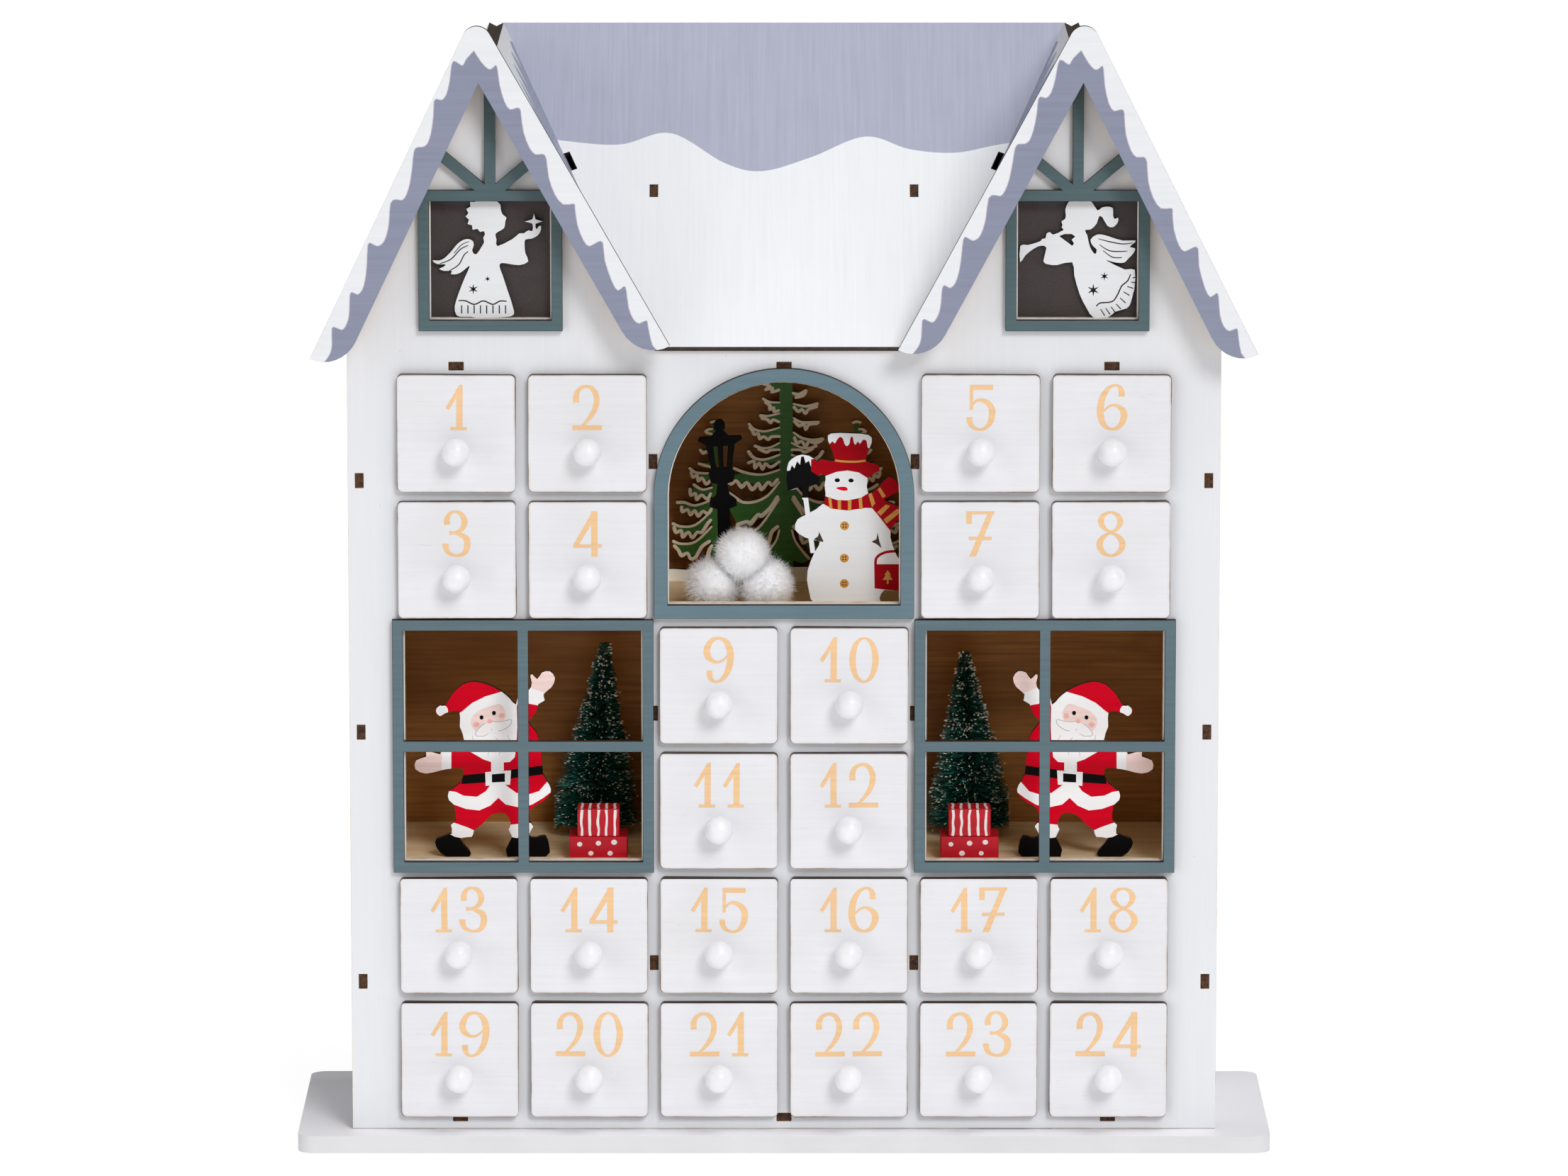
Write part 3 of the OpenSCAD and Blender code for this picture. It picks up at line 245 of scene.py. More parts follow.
white = screenColour(225, 226, 230)
paintedSheet("whiteFacade", white, front, forwards, "z", "cream", 0.025, speck=0.6, foot=0.0065)
paintedSheet("whiteLeftWall", white, (-1, 0, 0), sideways, "z", "toasted", 0.03)
paintedSheet("whiteRightWall", white, sideways, sideways, "z", "toasted", 0.03)
# painted shade: the back's bare inner face gets a darker brown than the other bare wood, for the shade deep in the
# bays
paintedSheet("whiteBack", white, forwards, forwards, "x", "cream", 0.03,
             bare=(screenColour(186, 132, 66), screenColour(148, 96, 40)))
for name, colour, streak in (("frameTeal", (91, 111, 119), 0.16), ("frameTealUp", (80, 101, 106), 0.14),
                             ("archTeal", (98, 121, 131), 0.12)):
    paintedSheet(name, screenColour(*colour), front, forwards, streak=streak, roughness=0.55)
# painted light: the level sheets' bare wood is lighter than the upright sheets', for the light on the floors of the
# bays
paintedSheet("bareLevel", woodLook["light"], None, upwards, "x", "toasted", roughness=0.62,
             bare=(screenColour(250, 232, 200), screenColour(226, 196, 150)))
paintedSheet("bareUpright", woodLook["light"], None, sideways, "y", "toasted", roughness=0.62)

inks = {
    "whiteFigure": {"colour": (251, 251, 253), "streak": 0.015},
    "whiteCutOut": {"colour": (227, 228, 231), "streak": 0.015},
    "roofBlue": {"colour": (172, 175, 194), "grain": "slope", "streak": 0.055, "roughness": 0.42, "depth": 0.00004},
    "panelBlue": {"colour": (150, 156, 178), "grain": "y", "streak": 0.08, "roughness": 0.42, "depth": 0.00004},
    "gableBlue": {"colour": (134, 139, 160), "streak": 0.045, "roughness": 0.5, "depth": 0.00003},
    "snowWhite": {"colour": (227, 228, 231), "streak": 0.02, "roughness": 0.5, "depth": 0.00003},
    "roofWhite": {"colour": (237, 238, 241), "grain": "slope", "streak": 0.02, "roughness": 0.5, "depth": 0.00003},
    "red": {"colour": (214, 1, 34), "roughness": 0.42, "shine": 0.05},
    "skin": {"colour": (250, 222, 217), "roughness": 0.42},
    "cheek": {"colour": (246, 186, 178), "roughness": 0.42},
    "black": {"colour": (4, 3, 4), "roughness": 0.5, "shine": 0.08},
    "greyLine": {"colour": (168, 168, 174), "roughness": 0.4},
    "hatRed": {"colour": (160, 3, 20), "roughness": 0.42, "shine": 0.05},
    "gold": {"colour": (196, 140, 56), "roughness": 0.42},
    "peach": {"colour": (236, 194, 146), "streak": 0.05, "roughness": 0.5},
    "cutDark": {"colour": (60, 46, 38), "roughness": 0.7},
    "firGreen": {"colour": (58, 112, 46), "streak": 0.1, "roughness": 0.45},
    "firSnow": {"colour": (248, 236, 214), "roughness": 0.5},
    "bankSnow": {"colour": (255, 252, 244), "streak": 0.03, "roughness": 0.5},
    "snowLine": {"colour": (188, 176, 194), "streak": 0.03, "roughness": 0.5},
    "giftRed": {"colour": (190, 10, 34), "streak": 0.12, "roughness": 0.42, "depth": 0.00008},
    "giftWhite": {"colour": (240, 232, 230), "streak": 0.04, "roughness": 0.45, "depth": 0.00006},
}
for name, look in inks.items():
    printInk(name, **look)


def plainWood():
    # the laser-cut edge and the bare back of the rebuilt sheets
    tree, shader = newMaterial("burntEdge")
    finish(tree, shader, burntColour(tree), 0.7, [(streaks(tree, 900), 0.00004)])
    tree, shader = newMaterial("bareBack")
    colour, fibres = woodColour(tree, "x", *bareWood)
    finish(tree, shader, colour, 0.62, [(fibres, 0.00004)])


def slabPaint():
    # the thick base, painted all over; its top is painted lighter and its sides darker, as painted light and shade
    tree, shader = newMaterial("slabPaint", "slab")
    clouds = streaks(tree, 18, detail=4.0)
    sides = fade(tree, clouds, screenColour(217, 216, 219), screenColour(209, 208, 211), 0.35, 0.7)
    # painted light and shade: the upward face gets a brighter white than the sides
    colour = mixColour(tree, facing(tree, upwards), sides, screenColour(246, 245, 249))
    finish(tree, shader, speckled(tree, colour, 0.017, 0.018, 0.5), mapRange(tree, clouds, 0.3, 0.7, 0.42, 0.55),
           [(clouds, 0.0001), (streaks(tree, 900, detail=2.0), 0.00003)])


# the grid of the drawer fronts and the marks of their edges, in metres
drawerLook = {"column": 0.048, "row": 0.0469, "middle": 0.0334, "half": 0.0217, "corner": 0.0020, "back": -0.043,
              "burntLine": 0.00022, "toast": 0.0011, "topLine": 0.00048, "fadeUp": (0.34, 0.10)}


def rimDistance(tree):
    # how far inside a drawer front's rounded edge a point lies; the fronts stand on one grid
    look = drawerLook
    squares = []
    for axis, step, shift in ((0, look["column"], look["column"] * 4.5),
                              (2, look["row"], look["row"] * 2 - look["middle"])):
        away = maths(tree, "PINGPONG", maths(tree, "ADD", placeOn(tree, axis), shift), step / 2)
        past = maths(tree, "MAXIMUM", maths(tree, "SUBTRACT", away, look["half"] - look["corner"]), 0.0)
        squares.append(maths(tree, "MULTIPLY", past, past))
    return maths(tree, "SUBTRACT", look["corner"], maths(tree, "SQRT", maths(tree, "ADD", *squares)))


def drawerFinish():
    # white front, burnt edge round it with a toasted rim, bare ply behind it
    tree, shader = newMaterial("drawerFinish", "drawer")
    look = drawerLook
    fibres = streaks(tree, grainScales["x"], detail=4.0)
    clouds = streaks(tree, 45)
    paint = fade(tree, fibres, screenColour(228, 228, 232), screenColour(222, 222, 227), 0.3, 0.75)
    paint = fade(tree, clouds, paint, screenColour(218, 216, 216), 0.4, 0.75, 0.0, 0.5)
    pores = streaks(tree, (160, 1600, 1600), detail=2.0)
    paint = fade(tree, pores, paint, screenColour(120, 112, 110), 0.7, 0.78, 0.0, 0.16)
    paint = speckled(tree, paint, 0.013, 0.016, 0.55)
    rim = rimDistance(tree)
    patchy = mapRange(tree, streaks(tree, 120), 0.38, 0.66, 0.15, 1.0)
    toast = maths(tree, "MULTIPLY", mapRange(tree, rim, look["toast"], 0.0, 0.0, 0.5), patchy)
    line = maths(tree, "MULTIPLY", mapRange(tree, rim, look["burntLine"], look["burntLine"] * 0.6),
                 mapRange(tree, patchy, 0.15, 1.0, 0.6, 1.0))
    above = maths(tree, "WRAP", maths(tree, "ADD", placeOn(tree, 2), look["row"] * 2 - look["middle"]),
                  look["row"] / 2, -look["row"] / 2)
    ledge = maths(tree, "MULTIPLY",                                     # the low drawers show more of it
                  mapRange(tree, above, look["half"] - look["topLine"], look["half"] - look["topLine"] * 0.6),
                  mapRange(tree, placeOn(tree, 2), *look["fadeUp"]))
    for mask, colour in ((toast, (206, 172, 132)), (line, (92, 62, 44)), (ledge, (34, 20, 13))):
        paint = mixColour(tree, mask, paint, screenColour(*colour))
    paint = mixColour(tree, facing(tree, front, 0.6, 0.66), burntColour(tree), paint)
    colour = fade(tree, placeOn(tree, 1), paint, woodColour(tree, "y", *bareWood)[0],
                  look["back"] - 0.00002, look["back"] + 0.00002)
    finish(tree, shader, colour, mapRange(tree, clouds, 0.3, 0.7, 0.46, 0.56),
           [(fibres, 0.00002), (streaks(tree, 1600, detail=2.0), 0.000012)], shine=0.35)


def knobFinish():
    tree, shader = newMaterial("glossyKnob", "knob")
    clouds = streaks(tree, 220, detail=2.0)
    shader.inputs["Coat Weight"].default_value = 0.22
    shader.inputs["Coat Roughness"].default_value = 0.16
    finish(tree, shader, fade(tree, clouds, screenColour(238, 238, 241), screenColour(230, 230, 234), 0.35, 0.7),
           mapRange(tree, clouds, 0.3, 0.7, 0.36, 0.44),
           [(clouds, 0.00001), (streaks(tree, 1400, detail=2.0), 0.000004)], shine=0.4)


def backingFinish():
    # the charcoal board behind an angel
    tree, shader = newMaterial("charcoalBoard", "charcoal")
    grainy = streaks(tree, 2600)
    clouds = streaks(tree, 90)
    colour = fade(tree, grainy, screenColour(44, 34, 33), screenColour(76, 64, 62), 0.4, 0.75)
    finish(tree, shader, fade(tree, clouds, colour, screenColour(34, 25, 22), 0.4, 0.7, 0.0, 0.6),
           mapRange(tree, clouds, 0.35, 0.65, 0.7, 0.4), [(grainy, 0.00006)])


for paintIt in (plainWood, slabPaint, drawerFinish, knobFinish, backingFinish):
    paintIt()

drawers = range(1, 25)
dressed = {
    "whiteFacade": ["facade"], "whiteLeftWall": ["side_wall_left"], "whiteRightWall": ["side_wall_right"],
    "whiteBack": ["back_panel"], "slab": ["base"], "frameTeal": ["window_frame_left", "window_frame_right"],
    "frameTealUp": ["attic_frames"], "archTeal": ["arch_frame"],
    "bareLevel": ["long_shelves", "short_shelves", "bottom_shelf", "attic_floor"],
    "bareUpright": ["inner_walls", "partition_left", "partition_right", "short_dividers"],
    "charcoal": ["attic_backings"], "black": ["lamp_post"], "drawer": ["drawer_%02d" % k for k in drawers],
}
for paint, names in dressed.items():
    for name in names:
        slots = nodes[name].data.materials
        if not slots:
            slots.append(None)
        for i in range(len(slots)):
            slots[i] = paints[paint]
print("sheets painted")


def softenEdges(name, width, segments=1):
    nodes[name].modifiers.new("weld", "WELD").merge_threshold = hair
    bevel = nodes[name].modifiers.new("bevel", "BEVEL")
    bevel.width = width
    bevel.segments = segments
    bevel.limit_method = "ANGLE"
    bevel.angle_limit = math.radians(50)
    bevel.harden_normals = False


for name in ("window_frame_left", "window_frame_right", "arch_frame", "attic_frames", "facade", "lamp_post"):
    softenEdges(name, 0.00012)
softenEdges("base", 0.0006, 3)
for name in dressed["drawer"]:
    softenEdges(name, 0.00014)


# flat shapes

def smoothLine(points, steps=4, closed=False):
    # a smooth curve through the points, which may carry a width as well
    count = len(points)
    line = []
    for i in range(count if closed else count - 1):
        a = points[(i - 1) % count] if closed or i > 0 else points[0]
        b, c = points[i], points[(i + 1) % count]
        d = points[(i + 2) % count] if closed or i + 2 < count else points[-1]
        for t in [s / steps for s in range(steps)]:
            line.append(tuple(
                q + (r - p) * t / 2 + (2 * p - 5 * q + 4 * r - w) * t * t / 2 + (3 * q - p - 3 * r + w) * t ** 3 / 2
                for p, q, r, w in zip(a, b, c, d)))
    return line if closed else line + [tuple(points[-1])]


def ribbon(points, steps=4, closed=False):
    # a stroke of changing width: (x, y, width) along its middle, as a list of four-sided pieces
    line = smoothLine(points, steps, closed)
    count = len(line)
    sides = []
    for i, (x, y, width) in enumerate(line):
        before = line[i - 1] if closed or i > 0 else line[i]
        after = line[(i + 1) % count] if closed or i + 1 < count else line[i]
        dx, dy = after[0] - before[0], after[1] - before[1]
        length = math.hypot(dx, dy) or 1
        nx, ny = -dy / length * width / 2, dx / length * width / 2
        sides.append(((x + nx, y + ny), (x - nx, y - ny)))
    quads = []
    for (a, b), (c, d) in zip(sides, sides[1:] + sides[:1] if closed else sides[1:]):
        quad = [b, d, c, a]
        mx, my = sum(p[0] for p in quad) / 4, sum(p[1] for p in quad) / 4
        quads.append(sorted(quad, key=lambda p: math.atan2(p[1] - my, p[0] - mx)))     # not crossed in a sharp bend
    return quads


def ringPoints(radius, count, second=None):
    turns = [2 * math.pi * i / count for i in range(count)]
    return [(radius * math.cos(a), (second or radius) * math.sin(a)) for a in turns]


def disc(x, y, radius, radiusY=None, sides=20):
    return [(x + dx, y + dy) for dx, dy in ringPoints(radius, sides, radiusY)]


def box(x0, x1, y0, y1):
    return [(x0, y0), (x1, y0), (x1, y1), (x0, y1)]


def turned(x, y, angle):
    return x * math.cos(angle) - y * math.sin(angle), x * math.sin(angle) + y * math.cos(angle)


def area(polygon):
    return sum(a[0] * b[1] - b[0] * a[1] for a, b in zip(polygon, polygon[1:] + polygon[:1])) / 2


def overlay(shapes):
    # shapes: (mark, polygon) in millimetres; returns points, triangles and the marks on each
    points, faces, marks = [], [], []
    for mark, polygon in shapes:
        if abs(area(polygon)) < 1e-5:
            continue
        if area(polygon) < 0:
            polygon = polygon[::-1]
        faces.append(list(range(len(points), len(points) + len(polygon))))
        points.extend(Vector(p) for p in polygon)
        marks.append(mark)
    out = geometry.delaunay_2d_cdt(points, [], faces, 1, 1e-5, True)
    return out[0], out[2], [set(marks[j] for j in origin) for origin in out[5]]


def addToScene(name, data):
    made = bpy.data.objects.new(name, data)
    bpy.context.scene.collection.objects.link(made)
    return made


def meshPiece(name, mesh, materials, body="house", smooth=False):
    data = bpy.data.meshes.new(name)
    mesh.normal_update()
    mesh.to_mesh(data)
    mesh.free()
    for key in materials:
        data.materials.append(paints[key])
    if smooth:
        for face in data.polygons:
            face.use_smooth = True
    piece = addToScene(name, data)
    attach(piece, body)
    return piece


def printedPlate(nodeName, pieceName, base, layers, direction=front, across=sideways):
    # rebuilds a sheet of the frame with its printed face cut along the print's own edges;
    # layers: (material, polygons in millimetres on the face), the last on top
    facingWay, u = Vector(direction).normalized(), Vector(across)
    v = facingWay.cross(u)
    mesh = bmesh.new()
    mesh.from_mesh(nodes[nodeName].data)
    bmesh.ops.remove_doubles(mesh, verts=mesh.verts, dist=hair)
    mesh.normal_update()
    depth = max(vert.co.dot(facingWay) for vert in mesh.verts)
    face = [f for f in mesh.faces
            if f.normal.dot(facingWay) > 0.98 and f.calc_center_median().dot(facingWay) > depth - 10 * hair]
    for f in mesh.faces:
        f.material_index = 2 if f.normal.dot(facingWay) < -0.9 else 1
    shapes = [(0, [(vert.co.dot(u) / mm, vert.co.dot(v) / mm) for vert in f.verts]) for f in face]
    shapes += [(i + 1, polygon) for i, (key, polygons) in enumerate(layers) for polygon in polygons]
    points, triangles, marks = overlay(shapes)
    bmesh.ops.delete(mesh, geom=face, context="FACES_KEEP_BOUNDARY")
    rim = [e for e in mesh.edges if e.is_boundary]
    used = sorted(set(i for t, m in zip(triangles, marks) if 0 in m for i in t))
    places = {i: u * points[i][0] * mm + v * points[i][1] * mm + facingWay * depth for i in used}
    for place in places.values():                 # new points on the outline split its edges
        for e in rim:
            a, b = e.verts[0].co, e.verts[1].co
            along = (place - a).dot(b - a) / max((b - a).length_squared, 1e-14)
            if (place - a).length > 1.5 * hair and (place - b).length > 1.5 * hair and 0 < along < 1 \
                    and (a.lerp(b, along) - place).length < hair:
                rim.append(bmesh.utils.edge_split(e, e.verts[0], along)[0])
                break
    verts = {i: mesh.verts.new(place) for i, place in places.items()}
    keys = list(dict.fromkeys(key for key, polygons in layers))
    for t, m in zip(triangles, marks):
        if 0 in m:
            top = max(m)
            colourIndex = 3 + keys.index(layers[top - 1][0]) if top else 0
            mesh.faces.new([verts[i] for i in t]).material_index = colourIndex
    bmesh.ops.remove_doubles(mesh, verts=mesh.verts, dist=1.25 * hair)
    piece = meshPiece(pieceName, mesh, [base, "burntEdge", "bareBack"] + keys)
    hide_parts(nodeName)


def layeredSheet(pieceName, layers, y, thickness, body="house", keepBack=True):
    # a new sheet facing the front, as wide as its layers; y is its face, all in millimetres
    points, triangles, marks = overlay([(i, p) for i, (key, polygons) in enumerate(layers) for p in polygons])
    keys = list(dict.fromkeys(key for key, polygons in layers))
    mesh = bmesh.new()
    near, far = [[mesh.verts.new((p[0] * mm, plane * mm, p[1] * mm)) for p in points] for plane in (y, y + thickness)]
    rim = {}
    for t, m in zip(triangles, marks):
        if not m:
            continue
        mesh.faces.new([near[i] for i in t]).material_index = keys.index(layers[max(m)][0])
        if keepBack:
            mesh.faces.new([far[i] for i in reversed(t)]).material_index = len(keys) + 1
        for i, j in ((t[0], t[1]), (t[1], t[2]), (t[2], t[0])):
            if (j, i) in rim:
                del rim[(j, i)]
            else:
                rim[(i, j)] = True
    for i, j in rim:
        mesh.faces.new((near[j], near[i], far[i], far[j])).material_index = len(keys)
    bmesh.ops.delete(mesh, geom=[vert for vert in mesh.verts if not vert.link_faces], context="VERTS")
    bmesh.ops.recalc_face_normals(mesh, faces=mesh.faces[:])
    return meshPiece(pieceName, mesh, keys + ["burntEdge", "bareBack"], body=body)


def sketch(points, originX, originY, scaleX, scaleY, flip=1, moveX=0.0, moveY=0.0):
    # points read off an enlarged drawing, laid on the sheet in millimetres
    return [(flip * (p[0] - originX) / scaleX + moveX, (originY - p[1]) / scaleY + moveY) + tuple(p[2:])
            for p in points]


def printFigure(node, pieceName, base, look, flip=1):
    layers = [(key, [sketch(p, *look["drawn"], flip=flip, moveX=flip * look["x"], moveY=look["floor"])
                     for p in polygons]) for key, polygons in look["layers"]]
    printedPlate(node, pieceName, base, layers)


# numbers on the drawers

numberLook = {"height": 16.8, "top": 3.6, "gap": 0.17, "thick": 0.05, "front": 43.4, "frontY": -46, "drop": 0.8,
              "turn": 0.5, "column": 48, "row": 46.9, "floor": 12.5}
sixStroke = [(.527, .74, .13), (.523, .855, .122), (.477, .95, .084), (.374, .989, .053), (.229, .912, .092),
             (.115, .721, .13), (.069, .492, .145), (.076, .30, .145), (.153, .11, .115), (.305, .023, .06),
             (.477, .073, .10), (.58, .263, .141), (.565, .416, .137), (.458, .523, .084), (.324, .55, .053),
             (.21, .49, .046), (.134, .40, .03)]
numerals = {
    0: (.66, ribbon([(.328, .98, .05), (.50, .86, .10), (.586, .5, .141), (.50, .14, .10), (.328, .015, .055),
        (.155, .14, .10), (.076, .5, .141), (.155, .86, .10)], closed=True)),
    1: (.465, [[(.369, 1), (.30, .995), (0, .487), (.07, .44), (.235, .715), (.235, .065), (.108, .065), (.108, 0),
        (.465, 0), (.465, .065), (.369, .065)]]),
    2: (.65, ribbon([(.087, .608, .133), (.084, .753, .125), (.152, .897, .09), (.304, .958, .07),
        (.449, .897, .106), (.529, .715, .125), (.506, .506, .118), (.418, .327, .099), (.304, .183, .07),
        (.175, .061, .04)]) + [box(0, .646, 0, .106)]),
    3: (.61, ribbon([(.107, .706, .13), (.099, .82, .122), (.164, .947, .084), (.279, .992, .057),
        (.412, .935, .10), (.485, .782, .13), (.443, .63, .107), (.336, .55, .069), (.25, .525, .06)]) +
        [[(.145, .57), (.145, .475), (.24, .49), (.34, .52), (.34, .56), (.24, .55)]] + ribbon([(.28, .52, .06),
        (.40, .475, .10), (.51, .40, .13), (.538, .248, .141), (.47, .076, .107), (.298, .019, .057),
        (.126, .084, .092), (.065, .21, .13), (.061, .286, .13)])),
    4: (.62, [box(.392, .529, 0, 1), box(0, .62, .192, .267), [(0, .267), (.122, .267), (.40, .72), (.50, 1),
        (.424, 1)]]),
    5: (.62, [box(.073, .569, .885, .996), box(.065, .137, .443, .996)] + ribbon([(.10, .50, .04), (.16, .60, .05),
        (.24, .66, .065), (.34, .655, .09), (.46, .595, .115), (.545, .47, .137), (.553, .35, .14),
        (.515, .175, .12), (.40, .04, .075), (.27, .012, .055), (.14, .065, .085), (.07, .175, .118),
        (.06, .285, .125)])),
    6: (.65, ribbon(sixStroke)),
    7: (.61, [box(0, .61, .935, 1), box(0, .118, .725, 1), [(.61, 1), (.46, .935), (.065, 0), (.21, 0)], box(.053,
        .553, .363, .435)]),
    8: (.645, ribbon([(.313, .975, .05), (.455, .92, .09), (.527, .78, .13), (.46, .62, .09), (.33, .55, .05),
        (.18, .62, .09), (.10, .78, .13), (.17, .92, .09)], closed=True) + ribbon([(.32, .515, .05),
        (.49, .43, .10), (.573, .263, .141), (.49, .09, .10), (.32, .015, .055), (.15, .09, .10), (.07, .263, .141),
        (.15, .43, .10)], closed=True)),
    9: (.65, ribbon([(.65 - x, 1 - y, w) for x, y, w in sixStroke])),
}
upperCells = [(0, 5), (1, 5), (0, 4), (1, 4), (4, 5), (5, 5), (4, 4), (5, 4), (2, 3), (3, 3), (2, 2), (3, 2)]


def drawerCentre(k):
    look = numberLook
    column, row = upperCells[k - 1] if k <= 12 else ((k - 1) % 6, 1 if k <= 18 else 0)
    return (column - 2.5) * look["column"], look["floor"] + look["row"] * row - look["drop"] + look["front"] / 2


def printNumber(k):
    look = numberLook
    digits = [int(d) for d in str(k)]
    start = -(sum(numerals[d][0] for d in digits) + look["gap"] * (len(digits) - 1)) / 2
    x, z = drawerCentre(k)
    turn = -math.radians(look["turn"] * math.sin(math.radians(77 * k + 20)))      # no two hang quite alike
    polygons = []
    for d in digits:
        for polygon in numerals[d][1]:
            placed = [turned((start + p[0]) * look["height"],
                             look["front"] / 2 - look["top"] + (p[1] - 1) * look["height"], turn) for p in polygon]
            polygons.append([(x + a, z + b) for a, b in placed])
        start += numerals[d][0] + look["gap"]
    layeredSheet("number_%02d" % k, [("peach", polygons)], look["frontY"] - look["thick"], look["thick"],
                 body="drawer_body_%02d" % k, keepBack=False)


for k in drawers:
    printNumber(k)
print("numbers printed")


# knobs: turned wood, a ball on a short neck, over the plain ones of the frame

knobLook = {"ball": 5.18, "neck": 3.02, "neckLength": 2.0, "foot": 0.25, "drop": 6.0, "turns": 48, "rings": 26}


def skin(mesh, rings, material=0):
    # four-sided faces along a row of rings
    for a, b in zip(rings, rings[1:]):
        for j in range(len(a)):
            k = (j + 1) % len(a)
            mesh.faces.new((a[j], a[k], b[k], b[j])).material_index = material


def turnKnob(k):
    look = knobLook
    x, z = drawerCentre(k)
    z -= look["drop"]
    seat = math.sqrt(look["ball"] ** 2 - look["neck"] ** 2)
    profile = [(look["neck"] + look["foot"], 0.0), (look["neck"], 0.35), (look["neck"], look["neckLength"] - 0.1)]
    start = math.asin(look["neck"] / look["ball"])
    for i in range(look["rings"] + 1):
        a = start + (math.pi - start) * i / look["rings"]
        profile.append((look["ball"] * math.sin(a), look["neckLength"] + seat - look["ball"] * math.cos(a)))
    mesh = bmesh.new()
    rings = [[mesh.verts.new(((x + dx) * mm, (numberLook["frontY"] - out) * mm, (z + dz) * mm))
              for dx, dz in ringPoints(radius, look["turns"])] for radius, out in profile[:-1]]
    skin(mesh, rings)
    tip = mesh.verts.new((x * mm, (numberLook["frontY"] - profile[-1][1]) * mm, z * mm))
    for a, b in zip(rings[-1], rings[-1][1:] + rings[-1][:1]):
        mesh.faces.new((a, b, tip))
    bmesh.ops.recalc_face_normals(mesh, faces=mesh.faces[:])
    meshPiece("knob_%02d" % k, mesh, ["knob"], body="drawer_body_%02d" % k, smooth=True)


for k in drawers:
    turnKnob(k)
print("knobs turned")


# barge boards with their snow

bargeLook = {
    "left": {"x": -107.2, "lean": 2.1},
    "right": {"x": 107.2, "lean": -0.8},
    "foot": 299.6,
    "line": 3.2,
    "drawn": (2046.95, 4896.93, 11.6156, 11.5669),
    "rightArm": [(742, 155), (775, 205), (803, 232), (820, 228), (835, 215), (842, 240), (850, 300), (870, 370),
        (893, 402), (920, 395), (935, 400), (940, 430), (950, 500), (975, 565), (1000, 592), (1030, 590),
        (1045, 610), (1055, 690), (1080, 760), (1115, 803), (1160, 800), (1165, 820), (1175, 890), (1200, 955),
        (1225, 980), (1260, 962), (1282, 965), (1290, 1040), (1320, 1130), (1345, 1168), (1370, 1150), (1380, 1165),
        (1390, 1240), (1410, 1290), (1435, 1308), (1465, 1295), (1472, 1320), (1490, 1400), (1530, 1440)],
    "leftArm": [(742, 155), (710, 190), (697, 215), (683, 212), (660, 198), (648, 215), (640, 280), (625, 340),
        (605, 362), (585, 358), (573, 370), (570, 430), (560, 500), (545, 545), (525, 560), (500, 562), (487, 580),
        (480, 640), (470, 710), (455, 760), (437, 785), (410, 782), (387, 798), (380, 880), (370, 930), (355, 965),
        (330, 980), (305, 968), (290, 975), (285, 1060), (278, 1120), (265, 1165), (245, 1185), (222, 1175),
        (212, 1190), (210, 1250), (205, 1290), (190, 1325), (175, 1335), (150, 1325), (135, 1330), (135, 1400),
        (125, 1440), (100, 1475)],
    "inside": [(1560, 1500), (1450, 1580), (1250, 1520), (748, 500), (250, 1580), (80, 1600)],
}


def boardPoint(point, side):
    # a point of the drawing, which shows the left board, laid on the named board
    look = bargeLook
    dx, dz = turned(point[0] - look["left"]["x"], point[1] - look["foot"], math.radians(-look["left"]["lean"]))
    dx, dz = turned(dx, dz, math.radians(look[side]["lean"]))
    return look[side]["x"] + dx, look["foot"] + dz


def printBarge(side):
    look = bargeLook
    arms = [look["rightArm"], look["leftArm"]]
    line = smoothLine(arms[0], 2) + look["inside"] + smoothLine(arms[1], 2)[::-1][:-1]
    hem = [quad for arm in arms for quad in ribbon([(x, y, look["line"]) for x, y in arm], 2)]
    blue, hem = [[[boardPoint(p, side) for p in sketch(polygon, *look["drawn"])] for polygon in polygons]
                 for polygons in ([line], hem)]
    printedPlate("bargeboard_" + side, "barge_" + side, "snowWhite", [("gableBlue", blue), ("snowLine", hem)])


for side in ("left", "right"):
    printBarge(side)
print("barge boards printed")


# roofs

roofLook = {
    "edge": (-43.0, 300.5), "top": 150, "wide": 150,
    "wave": [(-110, 90), (-84, 86), (-61, 84), (-42, 89), (-22, 76), (-8, 72.5), (10, 78.5), (30, 87.5), (46.5, 82),
             (63.5, 80.5), (82, 84.5), (110, 88)],
}
gableLook = {
    "ridge": 408.05, "x": 107.2, "deep": 150, "front": -70, "back": 60,
    # along the ridge from front to back: where each spike of snow stands, and how far it runs down the slope
    "inner": [(-56, 78), (-53.5, 46), (-50, 92), (-46, 40), (-43, 70), (-38.5, 30), (-34, 56), (-29, 22), (-24, 44),
              (-18.5, 16), (-12, 30), (-6, 11), (2, 22), (9, 8), (18, 16), (27, 6), (44, 11)],
    "outer": [(-56, 34), (-51, 22), (-45, 38), (-39, 19), (-32, 33), (-26, 17), (-18, 36), (-11, 18), (-4, 31),
              (4, 16), (12, 34), (19, 18), (27, 30), (35, 17), (44, 28)],
}


def slopeOf(name):
    # the way the broadest upward face of a sheet looks
    groups = {}
    for f in nodes[name].data.polygons:
        if f.normal.z > 0.2:
            groups.setdefault(tuple(round(c, 2) for c in f.normal), []).append(f)
    broadest = max(groups.values(), key=lambda group: sum(f.area for f in group))
    return max(broadest, key=lambda f: f.area).normal.normalized()


def printRoof():
    look = roofLook
    direction = slopeOf("roof_front")
    v = direction.cross(Vector(sideways))
    low = look["edge"][0] * v.y + look["edge"][1] * v.z
    blue = [(x, low + s) for x, s in smoothLine(look["wave"], 8)]
    blue += [(look["wide"], low + look["top"]), (-look["wide"], low + look["top"])]
    printedPlate("roof_front", "roof_sheet", "roofWhite", [("roofBlue", [blue])], direction=direction)


